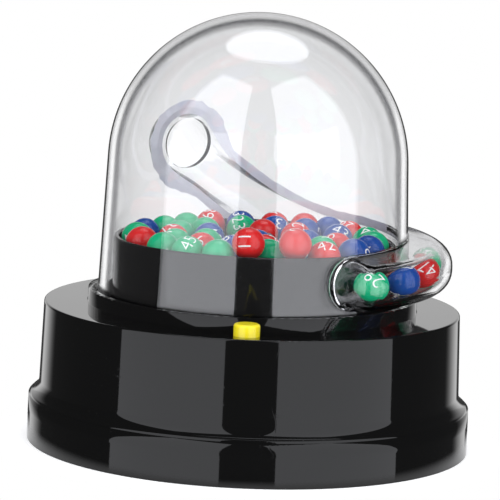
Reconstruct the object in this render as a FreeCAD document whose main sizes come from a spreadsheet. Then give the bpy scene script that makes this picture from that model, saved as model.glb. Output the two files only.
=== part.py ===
import FreeCAD, Part
import math
import os
import re
import Sketcher

# A small electric number-drawing machine: a black base with a battery tray and a motor, a ball cup
# with a turning table, a clear dome, and a clear covered chute that winds down round the dome.
# Origin: the middle of the foot's underside. +Z is up and -Y is the front, where the button is.

Vector = FreeCAD.Vector
document = FreeCAD.newDocument("drawing_machine")

# ---------------------------------------------------------------- driving sizes, in mm and degrees
SIZES = {
    # base shell
    "foot_radius": 65.0, "foot_draft": 0.2, "seam_height": 12.7,
    "shoulder_height": 14.3, "shoulder_lean": 0.3, "shoulder_round": 4.2,
    "neck_height": 16.55, "neck_round": 3.3, "shoulder_step": 3.25, "wall_taper": 0.75,
    "rim_rise": 4.4, "rim_width": 1.4, "rim_round": 0.7, "shell_wall": 2.2,
    "deck_rise": 0.7, "collar_rise": 8.3, "collar_wall": 1.95,
    "collar_clearance": 0.45, "seat_height": 36.2, "seat_inner_radius": 33.0,
    "post_setback": 12.0, "post_radius": 3.6, "post_gap": 0.3,
    # bottom tray
    "tray_floor_gap": 1.2, "tray_floor": 2.0, "lip_height": 0.9, "lip_wall": 1.6,
    "lip_clearance": 0.2, "tray_post_height": 7.6, "screw_head_radius": 2.6,
    "screw_head_height": 1.8, "screw_radius": 1.25, "screw_hole_radius": 1.6,
    "head_clearance": 0.4, "tray_screw_reach": 8.0, "head_shelf": 2.0,
    # batteries
    "cell_radius": 7.2, "cell_length": 49.3, "cell_nub_radius": 2.7, "cell_nub_length": 1.2,
    "cell_pitch": 15.0, "cell_clearance": 0.3, "box_wall": 1.6, "contact_room": 4.0,
    "contact_plate": 0.4, "contact_width": 9.0, "door_clearance": 0.35,
    "door_margin": 9.0, "door_corner": 1.5, "door_head_height": 0.9,
    "door_pilot_clearance": 0.2,
    # ball cup
    "cup_radius": 41.3, "cup_wall": 1.6, "cup_height": 24.4, "cup_rim_round": 0.6,
    "cup_floor_rise": 16.0, "cup_floor": 1.6, "cup_post_ring": 36.7,
    "cup_post_radius": 3.2, "cup_screw_reach": 7.0, "shaft_hole_radius": 4.0,
    # drive
    "motor_radius": 10.2, "motor_length": 25.0, "motor_flat": 15.4, "bearing_radius": 3.1,
    "bearing_height": 1.5, "shaft_radius": 1.0, "shaft_clearance": 0.05,
    "shaft_depth": 8.0, "socket_wall": 1.6, "socket_clearance": 0.3, "socket_depth": 14.0,
    "clamp_thickness": 1.6, "clamp_width": 12.0, "clamp_screw_ring": 16.0,
    "clamp_post_radius": 3.0, "endcap_length": 5.0,
    # turning table
    "table_clearance": 0.8, "table_lift": 1.0, "table_thickness": 1.8, "hub_radius": 5.5,
    "hub_height": 7.0, "hub_round": 1.5, "vane_reach": 19.0, "vane_height": 5.0,
    "vane_thickness": 2.0, "vane_count": 3,
    # balls
    "ball_diameter": 9.2, "ball_gap": 0.12, "ball_wall_gap": 0.35, "ball_rise": 3.9,
    # dome
    "dome_foot_radius": 45.83, "dome_radius": 43.86, "dome_height": 126.4,
    "dome_wall": 2.0, "mouth_radius": 7.9, "mouth_angle": 121.8,
    "mouth_rise": 47.6,
    # chute
    "chute_end_angle": -51.5, "chute_end_rise": 17.0, "chute_bend_angle": 51.0,
    "chute_bend_rise": 19.4, "chute_width": 15.6, "run_width": 18.0, "pocket_width": 22.4,
    "chute_depth": 13.0, "chute_wall": 2.1, "chute_draft": 10.0, "chute_round": 6.2,
    "chute_root": 8.0, "pocket_reach": 14.0, "ball_seat": 0.7,
    # button and switch
    "button_angle": -91.3, "button_radius": 3.7, "button_rise": 7.75,
    "button_round": 0.8, "button_clearance": 0.3, "button_travel": 1.5,
    "flange_radius": 5.0, "flange_thickness": 1.6, "sleeve_wall": 1.6,
    "sleeve_drop": 3.6, "switch_side": 6.2, "switch_height": 4.0, "plunger_radius": 1.7,
    "plunger_length": 4.6, "plunger_clearance": 0.2, "board_length": 24.0,
    "board_width": 13.0, "board_thickness": 1.6, "board_setback": 5.0,
    "board_screw_spacing": 17.0,
    "board_post_radius": 2.6, "board_screw_reach": 5.0,
}

sheet = document.addObject("Spreadsheet::Sheet", "Sizes")
for row, (alias, amount) in enumerate(SIZES.items(), start=1):
    sheet.set("A%d" % row, alias.replace("_", " "))
    sheet.set("B%d" % row, str(amount))
    sheet.setAlias("B%d" % row, alias)
document.recompute()


def size(alias):
    # The number now in the cell with this alias.
    return float(getattr(sheet, alias))


def linked(expression):
    # The same expression with each alias pointing at its cell.
    return re.sub(r"[a-z_]+", lambda word: "Sizes." + word.group() if word.group() in SIZES
                  else word.group(), expression)


def bind(item, path, expression):
    item.setExpression(path, linked(expression))


# ---------------------------------------------------------------- heights and radii used by several
WALL_FOOT = "(foot_radius - shoulder_step)"
WALL_TOP = "(foot_radius - shoulder_step - wall_taper)"
POST_RING = "(foot_radius - post_setback)"
DECK_FOOT = "(seat_height + deck_rise)"
RIM_TOP = "(seat_height + rim_rise)"
COLLAR_TOP = "(seat_height + collar_rise)"
CUP_FLOOR = "(seat_height + cup_floor_rise)"
CUP_RIM = "(seat_height + cup_height)"
SLEEVE_BOTTOM = "(seat_height - sleeve_drop)"
BUTTON_TOP = "(seat_height + button_rise)"
MOUTH_HEIGHT = "(seat_height + mouth_rise)"
FLOOR_TOP = "(tray_floor_gap + tray_floor)"
COLLAR_INNER = "(dome_foot_radius + collar_clearance)"
COLLAR_OUTER = "(dome_foot_radius + collar_clearance + collar_wall)"
CUP_INNER = "(cup_radius - cup_wall)"
TABLE_BOTTOM = "(%s + table_lift)" % CUP_FLOOR
TABLE_TOP = "(%s + table_lift + table_thickness)" % CUP_FLOOR
MOTOR_TOP = "(%s - cup_floor)" % CUP_FLOOR
MOTOR_BOTTOM = "(%s - cup_floor - motor_length)" % CUP_FLOOR
CELL_HEIGHT = "(tray_floor_gap + tray_floor + cell_clearance + cell_radius)"
BOX_TOP = "(tray_floor_gap + tray_floor + 2 * cell_clearance + 2 * cell_radius)"
BOX_LENGTH = "(cell_length + cell_nub_length + contact_room)"
BOX_WIDTH = "(3 * cell_pitch + cell_clearance)"
FLANGE_BOTTOM = "(%s - button_clearance - flange_thickness)" % SLEEVE_BOTTOM
PLUNGER_BOTTOM = "(%s - plunger_length)" % FLANGE_BOTTOM
SWITCH_BOTTOM = "(%s - button_travel - 2 * plunger_clearance)" % PLUNGER_BOTTOM
BUTTON_RING = "(%s / 2 + %s / 2 - shell_wall / 2)" % (COLLAR_OUTER, WALL_TOP)
BUTTON_X = "(%s * cos(button_angle * 1 deg))" % BUTTON_RING
BUTTON_Y = "(%s * sin(button_angle * 1 deg))" % BUTTON_RING
BOARD_Y = "(%s + board_setback)" % BUTTON_Y
DOOR_SCREW_SPACING = "(cell_length + cell_nub_length + contact_room + 2 * box_wall + door_margin)"


# ---------------------------------------------------------------- sketch and feature helpers
def newBody(label):
    body = document.addObject("PartDesign::Body", label)
    body.Label = label
    return body


def plane(body, role):
    return next(item for item in body.Origin.OriginFeatures if item.Role == role)


def newSketch(body, role, height=None):
    sketch = body.newObject("Sketcher::SketchObject", body.Label + "_sketch")
    sketch.AttachmentSupport = [(plane(body, role), "")]
    sketch.MapMode = "FlatFace"
    if height:
        bind(sketch, "AttachmentOffset.Base.z", height)
    return sketch


def fixPoint(sketch, geometry, vertex, across, up):
    # Ties one point to the sketch's origin with an expression for each direction.
    here = sketch.getPoint(geometry, vertex)
    for kind, axis, expression, now in (("DistanceX", -2, across, here.x), ("DistanceY", -1, up, here.y)):
        if expression == "0":
            sketch.addConstraint(Sketcher.Constraint("PointOnObject", geometry, vertex, axis))
        else:
            index = sketch.addConstraint(Sketcher.Constraint(kind, -1, 1, geometry, vertex, now))
            bind(sketch, "Constraints[%d]" % index, expression)


def drawOutline(sketch, points):
    # A closed outline through corners given as pairs of expressions, in order.
    first = sketch.GeometryCount
    count = len(points)
    ring = [Vector(30 + 10 * math.cos(math.tau * i / count), 30 + 10 * math.sin(math.tau * i / count), 0)
            for i in range(count)]
    for i in range(count):
        sketch.addGeometry(Part.LineSegment(ring[i], ring[(i + 1) % count]), False)
    for i in range(count):
        sketch.addConstraint(
            Sketcher.Constraint("Coincident", first + i, 2, first + (i + 1) % count, 1))
    for i, (across, up) in enumerate(points):
        fixPoint(sketch, first + i, 1, across, up)


def drawCircle(sketch, across, up, radius):
    geometry = sketch.addGeometry(Part.Circle(Vector(10, 10, 0), Vector(0, 0, 1), 2.0), False)
    fixPoint(sketch, geometry, 3, across, up)
    index = sketch.addConstraint(Sketcher.Constraint("Radius", geometry, 2.0))
    bind(sketch, "Constraints[%d]" % index, radius)


def drawRectangle(sketch, length, width):
    # A rectangle about the sketch's origin.
    half, side = "(%s) / 2" % length, "(%s) / 2" % width
    drawOutline(sketch, [("-" + half, "-" + side), (half, "-" + side), (half, side), ("-" + half, side)])


def revolve(body, points):
    # A full turn about Z of an outline given as (radius, height) corners.
    sketch = newSketch(body, "XZ_Plane")
    drawOutline(sketch, points)
    feature = body.newObject("PartDesign::Revolution", body.Label + "_turned")
    feature.Profile = sketch
    feature.ReferenceAxis = (sketch, ["V_Axis"])
    feature.Angle = 360
    document.recompute()
    return feature


def pad(body, sketch, length, name):
    feature = body.newObject("PartDesign::Pad", body.Label + "_" + name)
    feature.Profile = sketch
    bind(feature, "Length", length)
    document.recompute()
    return feature


def pocket(body, sketch, length, name, upwards=True):
    # A cut that starts at the sketch and must take material away.
    before = body.Shape.Volume
    feature = body.newObject("PartDesign::Pocket", body.Label + "_" + name)
    feature.Profile = sketch
    feature.Reversed = upwards
    bind(feature, "Length", length)
    document.recompute()
    assert body.Shape.Volume < before, body.Label + " " + name + " cuts nothing"
    return feature


def padCircle(body, across, up, radius, height, length, name):
    sketch = newSketch(body, "XY_Plane", height)
    drawCircle(sketch, across, up, radius)
    return pad(body, sketch, length, name)


def cutCircle(body, across, up, radius, height, length, name):
    sketch = newSketch(body, "XY_Plane", height)
    drawCircle(sketch, across, up, radius)
    return pocket(body, sketch, length, name)


def turnCopies(body, features, count):
    # Copies of features spread evenly round Z.
    pattern = body.newObject("PartDesign::PolarPattern", body.Label + "_copies")
    pattern.Originals = features
    pattern.Axis = (plane(body, "Z_Axis"), [""])
    pattern.Angle = 360
    pattern.Occurrences = int(count)
    body.Tip = pattern
    document.recompute()
    return pattern


def roundCorners(body, feature, sketch, corners, radius):
    # Rounds the rings that the numbered corners of a turned outline trace.
    names = []
    for corner in corners:
        point = sketch.Geometry[corner].StartPoint
        for number, edge in enumerate(feature.Shape.Edges, 1):
            if not isinstance(edge.Curve, Part.Circle):
                continue
            if abs(edge.Curve.Radius - point.x) < 1e-3 and abs(edge.Curve.Center.z - point.y) < 1e-3:
                names.append("Edge%d" % number)
    return roundEdges(body, feature, names, radius)


def roundEdges(body, feature, names, radius):
    fillet = body.newObject("PartDesign::Fillet", body.Label + "_round")
    fillet.Base = (feature, names)
    bind(fillet, "Radius", radius)
    document.recompute()
    return fillet


# ---------------------------------------------------------------- primitive helpers
def cylinder(label, radius, height, place, turn=None):
    item = document.addObject("Part::Cylinder", label)
    bind(item, "Radius", radius)
    bind(item, "Height", height)
    putAt(item, place, turn)
    return item


def block(label, length, width, height, place):
    # A box centred on X and Y, standing on its place.
    item = document.addObject("Part::Box", label)
    bind(item, "Length", length)
    bind(item, "Width", width)
    bind(item, "Height", height)
    putAt(item, ("%s - (%s) / 2" % (place[0], length), "%s - (%s) / 2" % (place[1], width), place[2]))
    return item


def putAt(item, place, turn=None):
    if turn:
        item.Placement.Rotation = turn
    for letter, expression in zip("xyz", place):
        bind(item, "Placement.Base." + letter, expression)


def fused(label, items):
    result = document.addObject("Part::MultiFuse", label)
    result.Shapes = items
    result.Label = label
    return result


def cutFrom(label, base, tool):
    result = document.addObject("Part::Cut", label)
    result.Base = base
    result.Tool = tool
    result.Label = label
    return result


def grouped(label, items):
    # Separate solids kept together as one sub-part.
    result = document.addObject("Part::Compound", label)
    result.Links = items
    result.Label = label
    return result


def polar(ring, angle):
    # Expressions for the point at a radius and an angle in degrees.
    return "(%s) * cos((%s) * 1 deg)" % (ring, angle), "(%s) * sin((%s) * 1 deg)" % (ring, angle)


SUBPARTS = []


def keep(item):
    SUBPARTS.append(item)
    return item


# ---------------------------------------------------------------- base shell
POST_ANGLES = [45, 135, 225, 315]
CUP_POST_ANGLES = [30, 150, 270]


def makeBaseShell():
    body = newBody("base_shell")
    turned = revolve(body, [
        ("foot_radius - foot_draft", "seam_height"),
        ("foot_radius - foot_draft - shoulder_lean", "shoulder_height"),
        (WALL_FOOT, "neck_height"),
        (WALL_TOP, RIM_TOP),
        (WALL_TOP + " - rim_width", RIM_TOP),
        (COLLAR_OUTER, DECK_FOOT),
        (COLLAR_OUTER, COLLAR_TOP),
        (COLLAR_INNER, COLLAR_TOP),
        (COLLAR_INNER, "seat_height"),
        ("seat_inner_radius", "seat_height"),
        ("seat_inner_radius", "seat_height - shell_wall"),
        (COLLAR_OUTER, "seat_height - shell_wall"),
        (WALL_TOP + " - shell_wall", RIM_TOP + " - shell_wall"),
        (WALL_FOOT + " - shell_wall", "neck_height"),
        ("foot_radius - shell_wall", "seam_height + lip_height + lip_clearance"),
        ("foot_radius - shell_wall", "seam_height"),
    ])
    sketch = turned.Profile[0]
    shoulder = roundCorners(body, turned, sketch, [1], "shoulder_round")
    neck = roundCorners(body, shoulder, sketch, [2], "neck_round")
    roundCorners(body, neck, sketch, [3], "rim_round")

    # Posts that hang from the deck and take the tray's screws.
    x, y = polar(POST_RING, POST_ANGLES[0])
    post = padCircle(body, x, y, "post_radius", "tray_post_height + post_gap",
                     DECK_FOOT + " - tray_post_height - post_gap", "post")
    pilot = cutCircle(body, x, y, "screw_radius", "tray_post_height + post_gap",
                      "tray_screw_reach", "pilot")
    turnCopies(body, [post, pilot], len(POST_ANGLES))

    # Sleeve that guides the button, and the two posts of the switch board.
    padCircle(body, BUTTON_X, BUTTON_Y, "button_radius + button_clearance + sleeve_wall",
              SLEEVE_BOTTOM, DECK_FOOT + " - " + SLEEVE_BOTTOM, "sleeve")
    cutCircle(body, BUTTON_X, BUTTON_Y, "button_radius + button_clearance", SLEEVE_BOTTOM,
              COLLAR_TOP + " - " + SLEEVE_BOTTOM, "button_hole")
    for side in (-1, 1):
        x = "%s + %d * board_screw_spacing / 2" % (BUTTON_X, side)
        padCircle(body, x, BOARD_Y, "board_post_radius", SWITCH_BOTTOM,
                  "seat_height - " + SWITCH_BOTTOM, "board_post")
        cutCircle(body, x, BOARD_Y, "screw_radius", SWITCH_BOTTOM, "board_screw_reach",
                  "board_pilot")

    # Holes in the seat for the screws that hold the cup.
    for angle in CUP_POST_ANGLES:
        x, y = polar("cup_post_ring", angle)
        cutCircle(body, x, y, "screw_hole_radius", "seat_height - 2 * shell_wall",
                  "3 * shell_wall", "cup_hole")
    return keep(body)


# ---------------------------------------------------------------- bottom tray
def makeBottomTray():
    body = newBody("bottom_tray")
    lip = "(foot_radius - shell_wall - lip_clearance)"
    revolve(body, [
        ("foot_radius", "0"),
        ("foot_radius - foot_draft", "seam_height"),
        (lip, "seam_height"),
        (lip, "seam_height + lip_height"),
        (lip + " - lip_wall", "seam_height + lip_height"),
        (lip + " - lip_wall", "seam_height - lip_height"),
        ("foot_radius - shell_wall", "seam_height - lip_height - lip_wall"),
        ("foot_radius - shell_wall", FLOOR_TOP),
        ("0", FLOOR_TOP),
        ("0", "tray_floor_gap"),
        ("foot_radius - shell_wall", "tray_floor_gap"),
        ("foot_radius - shell_wall", "0"),
    ])

    # Battery box with its roof, open downwards.
    walls = newSketch(body, "XY_Plane", "tray_floor_gap")
    drawRectangle(walls, BOX_LENGTH + " + 2 * box_wall", BOX_WIDTH + " + 2 * box_wall")
    pad(body, walls, BOX_TOP + " + box_wall - tray_floor_gap", "box")
    room = newSketch(body, "XY_Plane", "0")
    drawRectangle(room, BOX_LENGTH, BOX_WIDTH)
    pocket(body, room, BOX_TOP, "box_room")

    # Recess round the box mouth, deep enough for the door to lie flush.
    recess = newSketch(body, "XY_Plane", "0")
    drawRectangle(recess, BOX_LENGTH + " + 2 * door_margin + 2 * door_clearance",
                  BOX_WIDTH + " + 2 * box_wall + 2 * door_clearance")
    pocket(body, recess, "tray_floor_gap + tray_floor / 2", "door_recess")

    # Posts for the tray screws, bored from below for their heads.
    x, y = polar(POST_RING, POST_ANGLES[0])
    post = padCircle(body, x, y, "screw_head_radius + head_clearance + box_wall", "tray_floor_gap",
                     "tray_post_height - tray_floor_gap", "post")
    head = cutCircle(body, x, y, "screw_head_radius + head_clearance", "0",
                     "tray_post_height - head_shelf", "head_room")
    hole = cutCircle(body, x, y, "screw_hole_radius", "0", "seam_height", "screw_hole")
    turnCopies(body, [post, head, hole], len(POST_ANGLES))

    # Posts for the two door screws.
    for side in (-1, 1):
        x = "%d * (%s) / 2" % (side, DOOR_SCREW_SPACING)
        padCircle(body, x, "0", "post_radius", "tray_floor_gap + tray_floor / 2",
                  "tray_post_height", "door_post")
        cutCircle(body, x, "0", "screw_radius + door_pilot_clearance", "0", "tray_post_height",
                  "door_pilot")
    return keep(body)



# ---------------------------------------------------------------- batteries and their door
def makeBatteryDoor():
    body = newBody("battery_door")
    sketch = newSketch(body, "XY_Plane", "tray_floor_gap")
    drawRectangle(sketch, BOX_LENGTH + " + 2 * door_margin", BOX_WIDTH + " + 2 * box_wall")
    pad(body, sketch, "tray_floor / 2", "plate")
    inner = newSketch(body, "XY_Plane", "tray_floor_gap + tray_floor / 2")
    drawRectangle(inner, BOX_LENGTH + " - 2 * door_clearance", BOX_WIDTH + " - 2 * door_clearance")
    step = pad(body, inner, "tray_floor / 2", "step")
    upright = ["Edge%d" % number for number, edge in enumerate(body.Shape.Edges, 1)
               if edge.BoundBox.ZLength > 0.1]
    roundEdges(body, step, upright, "door_corner")
    for side in (-1, 1):
        x = "%d * %s / 2" % (side, DOOR_SCREW_SPACING)
        cutCircle(body, x, "0", "screw_hole_radius", "0", "seam_height", "screw_hole")
    return keep(body)


def makeDoorScrews():
    screws = []
    for number, side in enumerate((-1, 1)):
        x = "%d * %s / 2" % (side, DOOR_SCREW_SPACING)
        head = cylinder("door_screw_head_%d" % number, "screw_head_radius", "door_head_height",
                        (x, "0", "tray_floor_gap - door_head_height"))
        shank = cylinder("door_screw_shank_%d" % number, "screw_radius",
                         "tray_post_height - tray_floor_gap", (x, "0", "tray_floor_gap"))
        screws.append(fused("door_screw_%d" % number, [head, shank]))
    return keep(grouped("door_screws", screws))


CELL_ROWS = [-1, 0, 1]


def cellDirection(row):
    # Neighbouring cells point opposite ways: the middle one to -X.
    return 1 if row % 2 else -1


def makeBatteries():
    cells = []
    for row in CELL_ROWS:
        way = cellDirection(row)
        lay = FreeCAD.Rotation(Vector(0, 1, 0), 90 * way)
        y = "%d * cell_pitch" % row
        tip = "%d * (%s / 2 - contact_plate)" % (way, BOX_LENGTH)
        can = cylinder("cell_can_%d" % (row + 1), "cell_radius", "cell_length",
                       ("%s - %d * (cell_nub_length + cell_length)" % (tip, way), y, CELL_HEIGHT), lay)
        nub = cylinder("cell_nub_%d" % (row + 1), "cell_nub_radius", "cell_nub_length",
                       ("%s - %d * cell_nub_length" % (tip, way), y, CELL_HEIGHT), lay)
        cells.append(fused("cell_%d" % (row + 1), [can, nub]))
    return keep(grouped("battery_cells", cells))


def makeContactPlates():
    # Flat plates on the box's end walls, where the cells' nubs press.
    plates = []
    for row in CELL_ROWS:
        way = cellDirection(row)
        plates.append(block("contact_plate_%d" % (row + 1), "contact_plate", "contact_width",
                            "contact_width", ("%d * (%s - contact_plate) / 2" % (way, BOX_LENGTH),
                                              "%d * cell_pitch" % row,
                                              CELL_HEIGHT + " - contact_width / 2")))
    return keep(grouped("contact_plates", plates))


def makeContactLeaves():
    # Bent leaf springs at the cells' flat ends: a back strip and an arm that bulges to the cell.
    leaves = []
    reach = "(contact_room - contact_plate)"
    for row in CELL_ROWS:
        way = -cellDirection(row)
        body = newBody("contact_leaf_%d" % (row + 1))
        sketch = newSketch(body, "XZ_Plane", "%d * cell_pitch - contact_width / 2" % -row)
        wall = "%d * %s / 2" % (way, BOX_LENGTH)
        corners = [("0", -0.5), ("0", 0.5), ("contact_plate", 0.5), ("contact_plate", -0.42),
                   (reach + " - contact_plate", -0.06), (reach + " - contact_plate", 0.06),
                   (reach + " / 3", 0.34), (reach + " / 2", 0.38), (reach, 0.08), (reach, -0.08),
                   ("contact_plate * 1.5", -0.5)]
        if way > 0:
            corners.reverse()
        drawOutline(sketch, [("%s - %d * (%s)" % (wall, way, across),
                              "%s + %s * contact_width" % (CELL_HEIGHT, up))
                             for across, up in corners])
        pad(body, sketch, "contact_width", "strip")
        leaves.append(body)
    return keep(grouped("contact_leaves", leaves))


def makeTrayScrews():
    screws = []
    for number, angle in enumerate(POST_ANGLES):
        x, y = polar(POST_RING, angle)
        shelf = "(tray_post_height - head_shelf)"
        head = cylinder("tray_screw_head_%d" % number, "screw_head_radius", "screw_head_height",
                        (x, y, shelf + " - screw_head_height"))
        shank = cylinder("tray_screw_shank_%d" % number, "screw_radius",
                         "head_shelf + tray_screw_reach", (x, y, shelf))
        screws.append(fused("tray_screw_%d" % number, [head, shank]))
    return keep(grouped("tray_screws", screws))


# ---------------------------------------------------------------- ball cup
def makeBallCup():
    body = newBody("ball_cup")
    turned = revolve(body, [
        ("cup_radius", "seat_height"),
        ("cup_radius", CUP_RIM),
        (CUP_INNER, CUP_RIM),
        (CUP_INNER, CUP_FLOOR),
        ("shaft_hole_radius", CUP_FLOOR),
        ("shaft_hole_radius", MOTOR_TOP),
        ("motor_radius + socket_clearance", MOTOR_TOP),
        ("motor_radius + socket_clearance", MOTOR_TOP + " - socket_depth"),
        ("motor_radius + socket_clearance + socket_wall", MOTOR_TOP + " - socket_depth"),
        ("motor_radius + socket_clearance + socket_wall", MOTOR_TOP),
        (CUP_INNER, MOTOR_TOP),
        (CUP_INNER, "seat_height"),
    ])
    sketch = turned.Profile[0]
    roundCorners(body, turned, sketch, [1, 2], "cup_rim_round")

    # Posts that stand on the shell's seat and take the cup's screws.
    for angle in CUP_POST_ANGLES:
        x, y = polar("cup_post_ring", angle)
        padCircle(body, x, y, "cup_post_radius", "seat_height",
                  MOTOR_TOP + " + cup_floor / 2 - seat_height", "post")
        cutCircle(body, x, y, "screw_radius", "seat_height", "cup_screw_reach", "pilot")

    # Posts for the clamp under the motor.
    for side in (-1, 1):
        x = "%d * clamp_screw_ring" % side
        padCircle(body, x, "0", "clamp_post_radius", MOTOR_BOTTOM,
                  "motor_length + cup_floor / 2", "clamp_post")
        cutCircle(body, x, "0", "screw_radius", MOTOR_BOTTOM, "cup_screw_reach", "clamp_pilot")
    return keep(body)


def makeCupScrews():
    screws = []
    for number, angle in enumerate(CUP_POST_ANGLES):
        x, y = polar("cup_post_ring", angle)
        under = "(seat_height - shell_wall)"
        head = cylinder("cup_screw_head_%d" % number, "screw_head_radius", "screw_head_height",
                        (x, y, under + " - screw_head_height"))
        shank = cylinder("cup_screw_shank_%d" % number, "screw_radius",
                         "shell_wall + cup_screw_reach", (x, y, under))
        screws.append(fused("cup_screw_%d" % number, [head, shank]))
    return keep(grouped("cup_screws", screws))


# ---------------------------------------------------------------- motor
def makeMotorCan():
    # A can with two flat sides and a round bearing on its top, bored for the shaft.
    can = cylinder("motor_round", "motor_radius", "motor_length - endcap_length",
                   ("0", "0", MOTOR_BOTTOM + " + endcap_length"))
    flats = block("motor_flats", "2 * motor_radius", "motor_flat", "motor_length",
                  ("0", "0", MOTOR_BOTTOM))
    sides = document.addObject("Part::Common", "motor_sides")
    sides.Base = can
    sides.Tool = flats
    bearing = cylinder("motor_bearing", "bearing_radius", "bearing_height", ("0", "0", MOTOR_TOP))
    bore = cylinder("motor_bore", "shaft_radius + shaft_clearance", "shaft_depth + bearing_height",
                    ("0", "0", MOTOR_TOP + " - shaft_depth"))
    return keep(cutFrom("motor_can", fused("motor_solid", [sides, bearing]), bore))


def makeMotorEndcap():
    cap = cylinder("endcap_round", "motor_radius", "endcap_length", ("0", "0", MOTOR_BOTTOM))
    flats = block("endcap_flats", "2 * motor_radius", "motor_flat", "endcap_length",
                  ("0", "0", MOTOR_BOTTOM))
    item = document.addObject("Part::Common", "motor_endcap")
    item.Base = cap
    item.Tool = flats
    return keep(item)


def makeMotorClamp():
    # A strap across the motor's end, drilled at both ends.
    strap = block("clamp_strap", "2 * clamp_screw_ring + clamp_width", "clamp_width",
                  "clamp_thickness", ("0", "0", MOTOR_BOTTOM + " - clamp_thickness"))
    holes = [cylinder("clamp_hole_%d" % (side + 1), "screw_hole_radius", "2 * clamp_thickness",
                      ("%d * clamp_screw_ring" % side, "0", MOTOR_BOTTOM + " - 1.5 * clamp_thickness"))
             for side in (-1, 1)]
    return keep(cutFrom("motor_clamp", strap, fused("clamp_holes", holes)))


def makeClampScrews():
    screws = []
    for number, side in enumerate((-1, 1)):
        x = "%d * clamp_screw_ring" % side
        under = "(%s - clamp_thickness)" % MOTOR_BOTTOM
        head = cylinder("clamp_screw_head_%d" % number, "screw_head_radius", "screw_head_height",
                        (x, "0", under + " - screw_head_height"))
        shank = cylinder("clamp_screw_shank_%d" % number, "screw_radius",
                         "clamp_thickness + cup_screw_reach", (x, "0", under))
        screws.append(fused("clamp_screw_%d" % number, [head, shank]))
    return keep(grouped("clamp_screws", screws))


def makeMotorShaft():
    return keep(cylinder("motor_shaft", "shaft_radius",
                         TABLE_TOP + " + hub_height / 2 - %s + shaft_depth / 2" % MOTOR_TOP,
                         ("0", "0", MOTOR_TOP + " - shaft_depth / 2")))


# ---------------------------------------------------------------- turning table
def makeTurningTable():
    body = newBody("turning_table")
    rim = CUP_INNER + " - table_clearance"
    turned = revolve(body, [
        (rim, TABLE_BOTTOM),
        (rim, TABLE_TOP),
        ("hub_radius", TABLE_TOP),
        ("hub_radius", TABLE_TOP + " + hub_height"),
        ("0", TABLE_TOP + " + hub_height"),
        ("0", TABLE_TOP + " + hub_height / 2"),
        ("shaft_radius", TABLE_TOP + " + hub_height / 2"),
        ("shaft_radius", TABLE_BOTTOM),
    ])
    sketch = turned.Profile[0]
    roundCorners(body, turned, sketch, [3], "hub_round")

    # Upright vanes that drop from the hub towards their tips and stir the balls.
    vane = newSketch(body, "XZ_Plane", "-vane_thickness / 2")
    drawOutline(vane, [("hub_radius / 2", TABLE_TOP), ("vane_reach", TABLE_TOP),
                       ("vane_reach", TABLE_TOP + " + vane_height / 2"),
                       ("hub_radius / 2", TABLE_TOP + " + vane_height")])
    blade = pad(body, vane, "vane_thickness", "vane")
    turnCopies(body, [blade], size("vane_count"))
    return keep(body)


# ---------------------------------------------------------------- balls on the table
class BallHeap:
    # Balls spread over the table without touching the hub, the vanes, the cup or each other.
    def __init__(self):
        self.radius = size("ball_diameter") / 2
        self.reach = size("ball_diameter") + size("ball_gap")
        self.limit = (size("cup_radius") - size("cup_wall") - self.radius
                      - size("ball_wall_gap"))
        floor = (size("seat_height") + size("cup_floor_rise") + size("table_lift")
                 + size("table_thickness"))
        self.level = floor + self.radius + size("ball_gap")
        self.colours = []
        self.spots = []

    def pushFromVanes(self, x, y):
        # Moves a ball's centre off the hub and off each vane's middle line.
        room = self.radius + size("ball_gap")
        for number in range(int(size("vane_count"))):
            turn = math.tau * number / size("vane_count")
            along = x * math.cos(turn) + y * math.sin(turn)
            along = min(max(along, 0.0), size("vane_reach"))
            dx = x - along * math.cos(turn)
            dy = y - along * math.sin(turn)
            needed = room + (size("hub_radius") if along == 0.0 else size("vane_thickness") / 2)
            gap = math.hypot(dx, dy)
            if 1e-9 < gap < needed:
                x += dx / gap * (needed - gap)
                y += dy / gap * (needed - gap)
        middle = math.hypot(x, y)
        if 1e-9 < middle < room + size("hub_radius"):
            x, y = (part * (room + size("hub_radius")) / middle for part in (x, y))
        return x, y

    def place(self, colour, across, along, rise=0.0):
        self.colours.append(colour)
        self.spots.append([across * self.limit, along * self.limit, self.level + rise])

    def spread(self, rounds=900):
        # Neighbours push each other apart sideways until none touch.
        for step in range(rounds):
            for i, spot in enumerate(self.spots):
                for other in self.spots[:i]:
                    needed = math.sqrt(self.reach ** 2 - (spot[2] - other[2]) ** 2)
                    dx = spot[0] - other[0]
                    dy = spot[1] - other[1]
                    gap = math.hypot(dx, dy)
                    if 1e-9 < gap < needed:
                        push = (needed - gap) / gap * 0.5
                        spot[0] += dx * push
                        spot[1] += dy * push
                        other[0] -= dx * push
                        other[1] -= dy * push
            for spot in self.spots:
                spot[0], spot[1] = self.pushFromVanes(spot[0], spot[1])
                middle = math.hypot(spot[0], spot[1])
                if middle > self.limit:
                    spot[0] *= self.limit / middle
                    spot[1] *= self.limit / middle


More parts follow.
